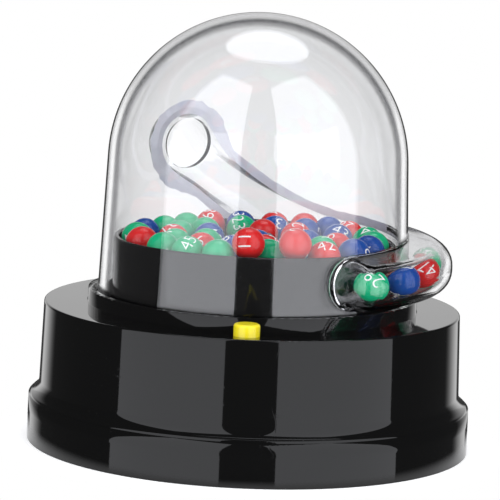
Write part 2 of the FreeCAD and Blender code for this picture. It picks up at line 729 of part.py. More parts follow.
# Where balls start on the table, in shares of the room from the axis, before they spread.
BALL_STARTS = {
    "red": [
        (-0.91, -0.42), (-0.68, -0.17), (-0.39, 0.86), (-0.49, -0.69), (0.07, 0.40),
        (0.20, 0.89), (0.65, -0.37), (0.59, -0.92), (0.35, 0.29), (0.81, 0.49), (0.03, -0.52),
        (0.43, 0.89),
    ],
    "green": [
        (-0.98, -0.14), (-0.78, 0.37), (-0.60, 0.62), (-0.71, -0.55), (-0.43, 0.36),
        (-0.35, -0.39), (-0.69, -0.81), (-0.40, -0.95), (-0.16, -0.98), (0.10, -0.73),
        (0.59, -0.69), (0.98, -0.14), (0.95, 0.14), (-0.12, 0.60), (-0.63, 0.10),
    ],
    "blue": [
        (-0.94, 0.14), (-0.14, 0.88), (-0.40, 0.03), (-0.24, -0.68), (-0.14, -0.33),
        (0.45, 0.58), (0.60, 0.75), (0.46, -0.17), (0.73, 0.27), (0.33, -0.89), (0.86, -0.43),
        (0.79, -0.63), (0.17, 0.66), (0.32, -0.49),
    ],
}

# Two red balls lie higher than the rest, against the front of the dome.
RAISED_STARTS = [(-0.03, -0.97), (0.31, -0.97)]


def makeBalls(label, spots):
    solids = [Part.makeSphere(size("ball_diameter") / 2, Vector(*spot)) for spot in spots]
    item = document.addObject("Part::Feature", label)
    item.Shape = Part.makeCompound(solids)
    item.Label = label
    return keep(item)


def makeTableBalls():
    heap = BallHeap()
    for colour, starts in BALL_STARTS.items():
        for across, along in starts:
            heap.place(colour, across, along)
    for across, along in RAISED_STARTS:
        heap.place("red", across, along, size("ball_rise"))
    heap.spread()
    for colour in BALL_STARTS:
        makeBalls("balls_" + colour, [spot for name, spot in zip(heap.colours, heap.spots)
                                      if name == colour])


# ---------------------------------------------------------------- dome
class DomeLine:
    # The dome's outer line: a tapered wall that runs tangent into a round top centred on the axis.
    def __init__(self, inset=0.0):
        self.foot = size("dome_foot_radius") - inset
        self.seat = size("seat_height")
        self.radius = size("dome_radius") - inset
        self.centre = size("dome_height") - size("dome_radius")
        drop = self.centre - self.seat
        self.lean = math.acos(self.radius / math.hypot(self.foot, drop)) - math.atan2(drop, self.foot)
        self.spring = self.centre + self.radius * math.sin(self.lean)

    def at(self, height):
        if height <= self.spring:
            return self.foot - (height - self.seat) * math.tan(self.lean)
        return math.sqrt(self.radius ** 2 - (height - self.centre) ** 2)


def domeSolid(label, inset_expression, inset):
    # Everything inside the dome's outer face, or inside a face that lies a wall deeper.
    line = DomeLine(inset)
    body = newBody(label)
    sketch = newSketch(body, "XZ_Plane")
    foot = Vector(line.foot, line.seat, 0)
    spring = Vector(line.at(line.spring), line.spring, 0)
    top = Vector(0, line.centre + line.radius, 0)
    middle = Vector(0, line.seat, 0)
    circle = Part.Circle(Vector(0, line.centre, 0), Vector(0, 0, 1), line.radius)
    sketch.addGeometry([Part.LineSegment(middle, foot), Part.LineSegment(foot, spring),
                        Part.ArcOfCircle(circle, line.lean, math.pi / 2),
                        Part.LineSegment(top, middle)], False)
    for first, second in ((0, 1), (2, 3), (3, 0)):
        sketch.addConstraint(Sketcher.Constraint("Coincident", first, 2, second, 1))
    sketch.addConstraint(Sketcher.Constraint("Tangent", 1, 2, 2, 1))
    fixPoint(sketch, 0, 1, "0", "seat_height")
    fixPoint(sketch, 1, 1, "dome_foot_radius" + inset_expression, "seat_height")
    fixPoint(sketch, 2, 3, "0", "dome_height - dome_radius")
    fixPoint(sketch, 3, 1, "0", "dome_height" + inset_expression)
    turned = body.newObject("PartDesign::Revolution", label + "_turned")
    turned.Profile = sketch
    turned.ReferenceAxis = (sketch, ["V_Axis"])
    turned.Angle = 360
    document.recompute()
    return body


def makeDome():
    outside = domeSolid("dome_outside", "", 0.0)
    inside = domeSolid("dome_inside", " - dome_wall", size("dome_wall"))
    shell = cutFrom("dome_shell", outside, inside)
    mouth = cylinder("dome_mouth", "mouth_radius", "dome_foot_radius", ("0", "0", MOUTH_HEIGHT),
                     FreeCAD.Rotation(Vector(0, 0, 1), size("mouth_angle"))
                     * FreeCAD.Rotation(Vector(0, 1, 0), 90))
    return keep(cutFrom("dome", shell, mouth)), outside


# ---------------------------------------------------------------- covered chute
class ChutePath:
    # The chute's middle line on the dome: a slight fall all the way and a steep run to the mouth.
    def __init__(self):
        self.dome = DomeLine()
        self.start = size("chute_end_angle")
        self.bend = size("chute_bend_angle")
        self.mouth = size("mouth_angle")
        self.low = size("seat_height") + size("chute_end_rise")
        self.fall = (size("chute_bend_rise") - size("chute_end_rise")) / (self.bend - self.start)
        steep_rise = (size("mouth_rise") - size("chute_end_rise")
                      - self.fall * (self.mouth - self.start))
        self.steepness = steep_rise / (self.mouth - self.bend) ** 2

    def height(self, angle):
        past = max(angle - self.bend, 0.0)
        return self.low + self.fall * (angle - self.start) + self.steepness * past ** 2

    def point(self, angle):
        height = self.height(angle)
        radius = self.dome.at(height)
        turn = math.radians(angle)
        return Vector(radius * math.cos(turn), radius * math.sin(turn), height)

    def frame(self, angle):
        # Point on the dome, the way outwards and the way across the chute, square to its run.
        turn = math.radians(angle)
        out = Vector(math.cos(turn), math.sin(turn), 0)
        run = self.point(angle + 0.5) - self.point(angle - 0.5)
        run = run - out * run.dot(out)
        across = out.cross(run).normalize()
        return self.point(angle), out, across

    def halfWidth(self, angle):
        # A little wider all the way up, and swelling into the pocket round the mouth.
        along = (angle - self.start) / (self.mouth - self.start)
        narrow = size("chute_width") + (size("run_width") - size("chute_width")) * along
        share = min(max((angle - self.mouth) / size("pocket_reach") + 1, 0.0), 1.0)
        swell = (size("pocket_width") - narrow) * share ** 2 * (3 - 2 * share)
        return (narrow + swell) / 2


def sectionPoints(half, depth, root, round_radius):
    # Corner data of one side of the section: foot, start, middle and end of the rounded corner.
    lean = math.radians(size("chute_draft"))
    foot = (half + root * math.tan(lean), -root)
    tip = (half - depth * math.tan(lean), depth)
    opening = math.pi / 2 + lean
    reach = round_radius / math.tan(opening / 2)
    start = (tip[0] + reach * math.sin(lean), tip[1] - reach * math.cos(lean))
    end = (tip[0] - reach, depth)
    centre = (end[0], depth - round_radius)
    bisector = (tip[0] - centre[0], tip[1] - centre[1])
    length = math.hypot(*bisector)
    middle = tuple(centre[i] + bisector[i] / length * round_radius for i in (0, 1))
    return foot, start, middle, end


def sectionWire(frame, half, depth, root, round_radius):
    # The closed section across the chute: root, two leaning sides, rounded corners and a flat top.
    origin, out, across = frame

    def place(point, side):
        return origin + across * (point[0] * side) + out * point[1]

    right = sectionPoints(half, depth, root, round_radius)
    foot, start, middle, end = [place(point, 1) for point in right]
    foot2, start2, middle2, end2 = [place(point, -1) for point in right]
    edges = [Part.makeLine(foot2, foot), Part.makeLine(foot, start),
             Part.Arc(start, middle, end).toShape(), Part.makeLine(end, end2),
             Part.Arc(end2, middle2, start2).toShape(), Part.makeLine(start2, foot2)]
    return Part.Wire(edges)


def endCap(frame, half, depth, root, round_radius, turn):
    # Half a turn of the section's right side about the line that points outwards.
    origin, out, across = frame
    foot, start, middle, end = [origin + across * point[0] + out * point[1]
                                for point in sectionPoints(half, depth, root, round_radius)]
    inner = origin - out * root
    outer = origin + out * depth
    wire = Part.Wire([Part.makeLine(inner, foot), Part.makeLine(foot, start),
                      Part.Arc(start, middle, end).toShape(), Part.makeLine(end, outer),
                      Part.makeLine(outer, inner)])
    return Part.Face(wire).revolve(origin, out, turn)


CHUTE_STATIONS = 15


def chuteSolid(label, inset):
    # The chute's outer form, or its channel when inset by the wall.
    path = ChutePath()
    sizes = (size("chute_depth") - inset, size("chute_root") + inset, size("chute_round") - inset)
    angles = [path.start + (path.mouth - path.start) * i / (CHUTE_STATIONS - 1)
              for i in range(CHUTE_STATIONS)]
    wires = [sectionWire(path.frame(angle), path.halfWidth(angle) - inset, *sizes)
             for angle in angles]
    run = Part.makeLoft(wires, True, False)
    low, high = (endCap(path.frame(angle), path.halfWidth(angle) - inset, *sizes, turn)
                 for angle, turn in ((path.start, 180), (path.mouth, -180)))
    item = document.addObject("Part::Feature", label)
    item.Shape = run.fuse([low, high]).removeSplitter()
    item.Label = label
    return item


def makeChuteCover(dome_outside):
    outer = chuteSolid("chute_outer", 0.0)
    channel = chuteSolid("chute_channel", size("chute_wall"))
    hollow = cutFrom("chute_hollow", outer, channel)
    return keep(cutFrom("chute_cover", hollow, dome_outside))


# Drawn balls lie on the channel's lower side: colour and angle of each, from the closed end.
DRAWN_BALLS = [("green", -49.0), ("blue", -33.6), ("red", -16.0), ("green", -2.0)]


def drawnSpot(angle):
    path = ChutePath()
    origin, out, across = path.frame(angle)
    radius = size("ball_diameter") / 2
    lean = math.radians(size("chute_draft"))
    lift = radius + size("ball_seat")
    side = path.halfWidth(angle) - size("chute_wall") - lift * math.tan(lean)
    drop = side - (radius + size("ball_gap")) / math.cos(lean)
    down = -1 if across.z > 0 else 1
    return origin + out * lift + across * (down * drop)


def makeDrawnBalls():
    for colour in ("green", "blue", "red"):
        spots = [drawnSpot(angle) for name, angle in DRAWN_BALLS if name == colour]
        makeBalls("drawn_balls_" + colour, spots)


# ---------------------------------------------------------------- button and switch
def makeButtonCap():
    body = newBody("button_cap")
    padCircle(body, BUTTON_X, BUTTON_Y, "flange_radius", FLANGE_BOTTOM, "flange_thickness", "flange")
    stem = padCircle(body, BUTTON_X, BUTTON_Y, "button_radius", FLANGE_BOTTOM,
                     BUTTON_TOP + " - " + FLANGE_BOTTOM, "stem")
    top = max(range(len(stem.Shape.Edges)), key=lambda i: stem.Shape.Edges[i].BoundBox.ZMin)
    roundEdges(body, stem, ["Edge%d" % (top + 1)], "button_round")
    return keep(body)


def makeSwitch():
    plunger = keep(cylinder("switch_plunger", "plunger_radius", "plunger_length",
                            (BUTTON_X, BUTTON_Y, PLUNGER_BOTTOM)))
    case = block("switch_case", "switch_side", "switch_side", "switch_height",
                 (BUTTON_X, BUTTON_Y, SWITCH_BOTTOM))
    bore = cylinder("switch_bore", "plunger_radius + plunger_clearance", "switch_height",
                    (BUTTON_X, BUTTON_Y, SWITCH_BOTTOM + " + plunger_clearance"))
    keep(cutFrom("switch_body", case, bore))
    board = block("board_plate", "board_length", "board_width", "board_thickness",
                  (BUTTON_X, BOARD_Y, SWITCH_BOTTOM + " - board_thickness"))
    holes = []
    screws = []
    for number, side in enumerate((-1, 1)):
        x = "%s + %d * board_screw_spacing / 2" % (BUTTON_X, side)
        under = "(%s - board_thickness)" % SWITCH_BOTTOM
        holes.append(cylinder("board_hole_%d" % number, "screw_hole_radius", "2 * board_thickness",
                              (x, BOARD_Y, under + " - board_thickness / 2")))
        head = cylinder("board_screw_head_%d" % number, "screw_head_radius", "screw_head_height",
                        (x, BOARD_Y, under + " - screw_head_height"))
        shank = cylinder("board_screw_shank_%d" % number, "screw_radius",
                         "board_thickness + board_screw_reach", (x, BOARD_Y, under))
        screws.append(fused("board_screw_%d" % number, [head, shank]))
    keep(cutFrom("switch_board", board, fused("board_holes", holes)))
    keep(grouped("board_screws", screws))
    return plunger


# ---------------------------------------------------------------- build, check and write
makeBaseShell()
makeBottomTray()
makeBatteryDoor()
makeDoorScrews()
makeBatteries()
makeContactPlates()
makeContactLeaves()
makeTrayScrews()
makeBallCup()
makeCupScrews()
makeMotorCan()
makeMotorEndcap()
makeMotorClamp()
makeClampScrews()
makeMotorShaft()
makeTurningTable()
makeTableBalls()
dome, dome_outside = makeDome()
makeChuteCover(dome_outside)
makeDrawnBalls()
makeButtonCap()
makeSwitch()
document.recompute()

for item in document.Objects:
    assert "Invalid" not in item.State and "Error" not in item.State, item.Label + " failed"
for item in SUBPARTS:
    assert not item.Shape.isNull() and item.Shape.isValid(), item.Label + " has no sound shape"

os.makedirs("parts", exist_ok=True)
for item in SUBPARTS:
    item.Shape.exportStep("parts/%s.step" % item.Label)
    print("%-22s %2d solids %10.1f mm3" % (item.Label, len(item.Shape.Solids), item.Shape.Volume))
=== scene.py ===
import math
import random

import bmesh
import bpy
import numpy as np
from mathutils import Matrix, Vector, noise


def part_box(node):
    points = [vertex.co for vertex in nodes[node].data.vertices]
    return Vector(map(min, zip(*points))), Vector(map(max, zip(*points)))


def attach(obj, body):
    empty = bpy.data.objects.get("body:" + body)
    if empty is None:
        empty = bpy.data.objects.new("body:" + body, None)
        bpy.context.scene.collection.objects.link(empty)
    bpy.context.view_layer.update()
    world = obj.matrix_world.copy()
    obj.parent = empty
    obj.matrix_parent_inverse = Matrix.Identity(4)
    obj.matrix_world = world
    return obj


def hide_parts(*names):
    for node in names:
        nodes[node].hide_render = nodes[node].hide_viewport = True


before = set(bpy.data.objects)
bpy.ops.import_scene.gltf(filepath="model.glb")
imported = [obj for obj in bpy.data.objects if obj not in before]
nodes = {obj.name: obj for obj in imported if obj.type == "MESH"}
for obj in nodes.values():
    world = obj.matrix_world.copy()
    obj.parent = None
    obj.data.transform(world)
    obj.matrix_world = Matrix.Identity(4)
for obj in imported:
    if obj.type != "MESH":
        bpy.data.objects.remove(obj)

scene = bpy.context.scene
mm = 0.001


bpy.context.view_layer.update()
print("frame loaded,", len(nodes), "nodes")

# ---- studio ----------------------------------------------------------------------------------
cameraView = {
    "place": (0.0, -850 * mm, 179.4 * mm),
    "pitch": math.radians(8.212),
    "pan": math.radians(0.0887),
    "roll": math.radians(2.3546),
    "focal": 2929.6,        # in widths of a picture point
    "across": 500,          # picture points
    "sensor": 36.0,
    "clip": (0.05, 20.0),
}

lamps = {
    "radiance": 1.8,
    "tint": (0.94, 0.955, 1.0),
    "panelDistance": 1.05,
    "panelAzimuths": (-42.5, 47.7),
    "panelWidths": (1.19, 1.37),
    "panelFoot": -0.55,
    "panelHead": 2.7,
    "topPlace": (0.05, 0.36, 1.10),
    "topDiameter": 0.78,
    "topRadiance": 2.0,
}

surroundings = {
    "white": 1.0,
    "fill": 0.45,           # light on matt surfaces
    "front": 0.05,          # what gloss shows where nothing stands
    "away": (0.0, 0.98, -0.2),
    "ringOuter": math.radians(46.0),    # the backdrop in gloss is a ring round the way past the
    "ringFull": math.radians(26.0),     # object: from here in to here it brightens,
    "ringInner": math.radians(23.0),    # and from here in to here it ends at a dark card
    "ringDark": math.radians(18.0),
    "cardHead": 0.05,       # the card fades out from this rise of a direction over cardFade, so
    "cardFade": 0.06,       # that a flat deck shows the backdrop, at skyShare of the ring's light
    "skyShare": 0.76,
    "ringLight": 1.25,
    "ringInside": 0.2,      # share of it that reaches gloss inside the dome
    "sideStart": -0.05,     # share of +Y in a direction where clear plastic shows the backdrop
    "sideFull": 0.15,
}

floorDisc = {
    "radius": 0.12, "segments": 96, "under": 0.02 * mm,
    "solid": 0.0655, "gone": 0.078,     # it fades out between these distances from the middle
    "colour": 0.86, "lift": 0.42,       # lift: light of its own
}


def makeCamera(v):
    data = bpy.data.cameras.new("camera")
    data.sensor_width = v["sensor"]
    data.lens = v["focal"] * v["sensor"] / v["across"]
    data.clip_start, data.clip_end = v["clip"]
    camera = bpy.data.objects.new("camera", data)
    turn = (Matrix.Rotation(v["pan"], 4, "Z") @ Matrix.Rotation(math.pi / 2 - v["pitch"], 4, "X")
            @ Matrix.Rotation(v["roll"], 4, "Z"))
    camera.matrix_world = Matrix.Translation(v["place"]) @ turn
    scene.collection.objects.link(camera)
    scene.camera = camera


def addLamp(name, shape, width, height, radiance, place, aim):
    data = bpy.data.lights.new(name, "AREA")
    data.color = lamps["tint"]
    data.shape = shape
    data.size, data.size_y = width, height
    area = math.pi * width * height / 4 if shape == "ELLIPSE" else width * height
    data.energy = radiance * math.pi * area
    lamp = bpy.data.objects.new(name, data)
    lamp.location = place
    lamp.rotation_euler = (Vector(aim) - Vector(place)).to_track_quat("-Z", "Y").to_euler()
    lamp.visible_camera = False
    scene.collection.objects.link(lamp)


def makeLamps(v):
    middle = (v["panelFoot"] + v["panelHead"]) / 2
    height = v["panelHead"] - v["panelFoot"]
    for name, azimuth, width in zip(("panelLeft", "panelRight"), v["panelAzimuths"], v["panelWidths"]):
        turn = math.radians(azimuth)
        place = (v["panelDistance"] * math.sin(turn), -v["panelDistance"] * math.cos(turn), middle)
        addLamp(name, "RECTANGLE", width, height, v["radiance"], place, (0, 0, middle))
    top = v["topPlace"]
    addLamp("topDish", "ELLIPSE", v["topDiameter"], v["topDiameter"], v["topRadiance"], top,
            (top[0], top[1], 0))


def addNode(tree, kind, **sockets):
    node = tree.nodes.new("ShaderNode" + kind)
    for name, value in sockets.items():
        node.inputs[name.replace("_", " ")].default_value = value
    return node


def join(tree, *pairs):
    for start, end in pairs:
        tree.links.new(start, end)


def mathNode(tree, operation, first, second=None, clamp=False):
    node = tree.nodes.new("ShaderNodeMath")
    node.operation = operation
    node.use_clamp = clamp
    for socket, value in zip(node.inputs, (first, second)):
        if isinstance(value, (int, float)):
            socket.default_value = value
        elif value is not None:
            tree.links.new(value, socket)
    return node.outputs[0]


def smoothRange(tree, value, low, high, first=0.0, last=1.0):
    node = addNode(tree, "MapRange", From_Min=low, From_Max=high, To_Min=first, To_Max=last)
    node.interpolation_type = "SMOOTHSTEP"
    tree.links.new(value, node.inputs["Value"])
    return node.outputs[0]


def makeWorld(v):
    # White for the eye and through clear plastic. Gloss shows a white ring behind the object, with
    # a dark card in it that outlines black and clear edges, and a dark room in front.
    world = bpy.data.worlds.new("studio")
    scene.world = world
    world.use_nodes = True
    tree = world.node_tree
    tree.nodes.clear()
    path = addNode(tree, "LightPath")
    way = addNode(tree, "TexCoord")
    parts = addNode(tree, "SeparateXYZ")
    join(tree, (way.outputs["Generated"], parts.inputs[0]))
    past = tree.nodes.new("ShaderNodeVectorMath")
    past.operation = "DOT_PRODUCT"
    past.inputs[1].default_value = Vector(v["away"]).normalized()
    join(tree, (way.outputs["Generated"], past.inputs[0]))
    near = past.outputs["Value"]
    rise = smoothRange(tree, near, math.cos(v["ringOuter"]), math.cos(v["ringFull"]),
                       v["front"], v["ringLight"])
    card = smoothRange(tree, near, math.cos(v["ringInner"]), math.cos(v["ringDark"]), 1.0, v["front"])
    above = smoothRange(tree, parts.outputs["Z"], v["cardHead"], v["cardHead"] + v["cardFade"])
    lit = mathNode(tree, "MULTIPLY", rise, mathNode(tree, "MAXIMUM", card, above))
    ring = mathNode(tree, "MULTIPLY", lit, mathNode(
        tree, "SUBTRACT", 1.0, mathNode(tree, "MULTIPLY", above, 1.0 - v["skyShare"])))
    glossy = mathNode(tree, "MULTIPLY", path.outputs["Is Glossy Ray"], ring)
    behind = smoothRange(tree, parts.outputs["Y"], v["sideStart"], v["sideFull"], v["front"], v["white"])
    mirrored = mathNode(tree, "GREATER_THAN", path.outputs["Glossy Depth"], 0.5)
    clearLight = addNode(tree, "Mix")
    join(tree, (mirrored, clearLight.inputs[0]), (behind, clearLight.inputs[2]),
         (mathNode(tree, "MULTIPLY", ring, v["ringInside"]), clearLight.inputs[3]))
    through = mathNode(tree, "MULTIPLY", path.outputs["Is Transmission Ray"], clearLight.outputs[0])
    seen = mathNode(tree, "MULTIPLY", path.outputs["Is Camera Ray"], v["white"])
    matt = mathNode(tree, "MULTIPLY", path.outputs["Is Diffuse Ray"], v["fill"])
    strength = mathNode(tree, "MAXIMUM", mathNode(tree, "MAXIMUM", seen, glossy),
                        mathNode(tree, "MAXIMUM", through, matt))
    background = addNode(tree, "Background", Color=(1, 1, 1, 1))
    output = addNode(tree, "OutputWorld")
    join(tree, (strength, background.inputs["Strength"]), (background.outputs[0], output.inputs[0]))


def makeFloor(v):
    # A round table that fades into the white round about, and keeps the shadow under the foot.
    bm = bmesh.new()
    bmesh.ops.create_circle(bm, cap_ends=True, segments=v["segments"], radius=v["radius"])
    mesh = bpy.data.meshes.new("floor")
    bm.to_mesh(mesh)
    bm.free()
    floor = bpy.data.objects.new("floor", mesh)
    floor.location.z = -v["under"]
    scene.collection.objects.link(floor)
    material = bpy.data.materials.new("floorWhite")
    material.use_nodes = True
    tree = material.node_tree
    tree.nodes.clear()
    path = addNode(tree, "LightPath")
    place = addNode(tree, "TexCoord")
    length = tree.nodes.new("ShaderNodeVectorMath")
    length.operation = "LENGTH"
    join(tree, (place.outputs["Object"], length.inputs[0]))
    seen = mathNode(tree, "MAXIMUM", path.outputs["Is Camera Ray"], path.outputs["Is Glossy Ray"])
    seen = mathNode(tree, "MAXIMUM", seen, path.outputs["Is Transmission Ray"])
    glow = addNode(tree, "Emission")
    join(tree, (mathNode(tree, "MULTIPLY", seen, v["lift"]), glow.inputs["Strength"]))
    matt = addNode(tree, "BsdfDiffuse", Color=(v["colour"],) * 3 + (1,))
    lit = addNode(tree, "AddShader")
    clear = addNode(tree, "BsdfTransparent")
    mix = addNode(tree, "MixShader")
    output = addNode(tree, "OutputMaterial")
    join(tree, (glow.outputs[0], lit.inputs[0]), (matt.outputs[0], lit.inputs[1]),
         (smoothRange(tree, length.outputs["Value"], v["solid"], v["gone"]), mix.inputs[0]),
         (lit.outputs[0], mix.inputs[1]), (clear.outputs[0], mix.inputs[2]),
         (mix.outputs[0], output.inputs[0]))
    mesh.materials.append(material)


scene.view_settings.view_transform = "Standard"
makeCamera(cameraView)
makeLamps(lamps)
makeWorld(surroundings)
makeFloor(floorDisc)
print("studio ready")


# ---- shared effects --------------------------------------------------------------------------
markSizes = {
    # Each set of scratches: how its noise is turned, and its scale along each axis.
    "sets": (((0.5, 0.35, 0.65), (1.0, 0.05, 0.6)), ((2.1, 1.47, 2.73), (0.07, 1.0, 0.5)),
             ((1.2, 0.84, 1.56), (0.5, 0.08, 1.0))),
    "hairline": 0.006, "patchScale": 45.0, "patchRange": (0.52, 0.66), "speckRange": (0.10, 0.22),
    "scratchDepth": 0.6, "heightShare": 0.2, "dustRough": 0.5, "dustColour": (0.55, 0.55, 0.56),
}


def newGroup(name, inputs, outputs):
    # Inputs are pairs of a name and a number, outputs are names.
    group = bpy.data.node_groups.new(name, "ShaderNodeTree")
    for label, value in inputs:
        socket = group.interface.new_socket(label, in_out="INPUT", socket_type="NodeSocketFloat")
        socket.default_value = value
    for label in outputs:
        group.interface.new_socket(label, in_out="OUTPUT", socket_type="NodeSocketFloat")
    start = group.nodes.new("NodeGroupInput")
    end = group.nodes.new("NodeGroupOutput")
    return group, start, end


def makeHandlingMarks(v):
    # Hairline scratches that cross each other, and fine dust.
    group, start, end = newGroup(
        "handlingMarks",
        [("Scratch Scale", 60.0), ("Dust Scale", 900.0), ("Dust Cover", 0.35)],
        ["Scratches", "Dust", "Height"])
    place = addNode(group, "TexCoord")
    lines = []
    for turn, stretch in v["sets"]:
        mapping = addNode(group, "Mapping")
        mapping.inputs["Rotation"].default_value = turn
        mapping.inputs["Scale"].default_value = stretch
        cells = addNode(group, "TexNoise", Detail=2.0, Roughness=0.6)
        join(group, (place.outputs["Object"], mapping.inputs[0]),
             (mapping.outputs[0], cells.inputs["Vector"]),
             (start.outputs["Scratch Scale"], cells.inputs["Scale"]))
        middle = mathNode(group, "ABSOLUTE", mathNode(group, "SUBTRACT", cells.outputs["Fac"], 0.5))
        lines.append(smoothRange(group, middle, 0.0, v["hairline"], 1.0, 0.0))
    crossed = mathNode(group, "MAXIMUM", mathNode(group, "MAXIMUM", lines[0], lines[1]), lines[2])
    patches = addNode(group, "TexNoise", Scale=v["patchScale"], Detail=3.0)
    join(group, (place.outputs["Object"], patches.inputs["Vector"]))
    worn = smoothRange(group, patches.outputs["Fac"], *v["patchRange"])
    scratches = mathNode(group, "MULTIPLY", crossed, worn)
    grains = addNode(group, "TexVoronoi")
    join(group, (place.outputs["Object"], grains.inputs["Vector"]),
         (start.outputs["Dust Scale"], grains.inputs["Scale"]))
    specks = smoothRange(group, grains.outputs["Distance"], *v["speckRange"], 1.0, 0.0)
    chance = addNode(group, "SeparateColor")
    join(group, (grains.outputs["Color"], chance.inputs[0]))
    shown = mathNode(group, "GREATER_THAN", start.outputs["Dust Cover"], chance.outputs[0])
    dust = mathNode(group, "MULTIPLY", specks, shown)
    height = mathNode(group, "SUBTRACT", dust, mathNode(group, "MULTIPLY", scratches, v["scratchDepth"]))
    join(group, (scratches, end.inputs["Scratches"]), (dust, end.inputs["Dust"]),
         (height, end.inputs["Height"]))
    return group


def makeMouldedSkin():
    # The slight unevenness of a moulded face: slow waves and a fine orange peel.
    group, start, end = newGroup(
        "mouldedSkin", [("Wave Scale", 28.0), ("Peel Scale", 420.0), ("Peel Share", 0.12)],
        ["Height", "Flow"])
    place = addNode(group, "TexCoord")
    waves = addNode(group, "TexNoise", Detail=1.0)
    peel = addNode(group, "TexNoise", Detail=2.0)
    join(group, (place.outputs["Object"], waves.inputs["Vector"]),
         (place.outputs["Object"], peel.inputs["Vector"]),
         (start.outputs["Wave Scale"], waves.inputs["Scale"]),
         (start.outputs["Peel Scale"], peel.inputs["Scale"]))
    fine = mathNode(group, "MULTIPLY", peel.outputs["Fac"], start.outputs["Peel Share"])
    height = mathNode(group, "ADD", waves.outputs["Fac"], fine)
    join(group, (height, end.inputs["Height"]), (waves.outputs["Fac"], end.inputs["Flow"]))
    return group


marksGroup = makeHandlingMarks(markSizes)
skinGroup = makeMouldedSkin()


def placeGroup(tree, group, **values):
    node = tree.nodes.new("ShaderNodeGroup")
    node.node_tree = group
    for name, value in values.items():
        node.inputs[name.replace("_", " ")].default_value = value
    return node


def newMaterial(name):
    material = bpy.data.materials.new(name)
    material.use_nodes = True
    tree = material.node_tree
    tree.nodes.clear()
    shader = addNode(tree, "BsdfPrincipled")
    output = addNode(tree, "OutputMaterial")
    join(tree, (shader.outputs[0], output.inputs[0]))
    return material, tree, shader


def addBump(tree, shader, height, distance):
    bump = addNode(tree, "Bump", Strength=1.0, Distance=distance)
    join(tree, (height, bump.inputs["Height"]), (bump.outputs[0], shader.inputs["Normal"]))


def mixColour(tree, factor, first, second):
    node = tree.nodes.new("ShaderNodeMix")
    node.data_type = "RGBA"
    for socket, value in ((node.inputs[0], factor), (node.inputs[6], first), (node.inputs[7], second)):
        if isinstance(value, tuple):
            socket.default_value = value + (1.0,) if len(value) == 3 else value
        elif isinstance(value, (int, float)):
            socket.default_value = value
        else:
            tree.links.new(value, socket)
    return node.outputs[2]


# ---- plastics and metals ---------------------------------------------------------------------
def mouldedPlastic(name, v):
    # Opaque moulded plastic: colour, roughness and skin from one set of values.
    material, tree, shader = newMaterial(name)
    skin = placeGroup(tree, skinGroup, Wave_Scale=v["waves"], Peel_Share=v["peel"])
    marks = placeGroup(tree, marksGroup, Scratch_Scale=v["scratches"], Dust_Cover=v["dust"])
    shade = mixColour(tree, skin.outputs["Flow"], v["colour"], v["colour2"])
    dusty = mathNode(tree, "MULTIPLY", marks.outputs["Dust"], v["dustShow"])
    join(tree, (mixColour(tree, dusty, shade, markSizes["dustColour"]), shader.inputs["Base Color"]))
    worn = mathNode(tree, "MULTIPLY", marks.outputs["Scratches"], v["scratchShow"])
    rough = mathNode(tree, "ADD", v["roughness"], mathNode(tree, "ADD", worn, mathNode(
        tree, "MULTIPLY", dusty, markSizes["dustRough"])), clamp=True)
    join(tree, (rough, shader.inputs["Roughness"]))
    shader.inputs["IOR"].default_value = v["ior"]
    if "glowWeight" in v:
        shader.inputs["Subsurface Weight"].default_value = v["glowWeight"]
        shader.inputs["Subsurface Radius"].default_value = v["glowRadius"]
        shader.inputs["Subsurface Scale"].default_value = v["glowScale"]
    height = mathNode(tree, "ADD", skin.outputs["Height"], mathNode(
        tree, "MULTIPLY", marks.outputs["Height"], markSizes["heightShare"]))
    addBump(tree, shader, height, v["bump"])
    return material


blackGloss = mouldedPlastic("blackGloss", {
    "colour": (0.0035, 0.0035, 0.0034), "colour2": (0.0042, 0.0042, 0.0043), "roughness": 0.035,
    "ior": 1.41, "waves": 22.0, "peel": 0.02, "scratches": 60.0, "dust": 0.04, "dustShow": 0.01,
    "scratchShow": 0.08, "bump": 0.02 * mm,
})
cupBlack = mouldedPlastic("cupBlack", {
    "colour": (0.0045, 0.0045, 0.0045), "colour2": (0.006, 0.006, 0.0062), "roughness": 0.07,
    "ior": 1.42, "waves": 30.0, "peel": 0.02, "scratches": 70.0, "dust": 0.04, "dustShow": 0.01,
    "scratchShow": 0.15, "bump": 0.02 * mm,
})
innerBlack = mouldedPlastic("innerBlack", {
    "colour": (0.012, 0.012, 0.013), "colour2": (0.018, 0.018, 0.018), "roughness": 0.42,
    "ior": 1.5, "waves": 40.0, "peel": 0.35, "scratches": 80.0, "dust": 0.2, "dustShow": 0.2,
    "scratchShow": 0.1, "bump": 0.05 * mm,
})
innerWhite = mouldedPlastic("innerWhite", {
    "colour": (0.74, 0.73, 0.70), "colour2": (0.80, 0.79, 0.77), "roughness": 0.38,
    "ior": 1.5, "waves": 40.0, "peel": 0.3, "scratches": 80.0, "dust": 0.15, "dustShow": 0.2,
    "scratchShow": 0.1, "bump": 0.05 * mm,
})
buttonYellow = mouldedPlastic("buttonYellow", {
    "colour": (0.80, 0.66, 0.012), "colour2": (0.86, 0.73, 0.02), "roughness": 0.22,
    "ior": 1.5, "waves": 120.0, "peel": 0.1, "scratches": 120.0, "dust": 0.08, "dustShow": 0.15,
    "scratchShow": 0.2, "bump": 0.02 * mm,
    "glowWeight": 0.15, "glowRadius": (1.0, 0.8, 0.1), "glowScale": 0.8 * mm,
})
ballPaints = {
    "red": ((0.60, 0.012, 0.014), (0.70, 0.020, 0.020)),
    "green": ((0.002, 0.38, 0.16), (0.006, 0.47, 0.21)),
    "blue": ((0.004, 0.048, 0.26), (0.008, 0.075, 0.35)),
}
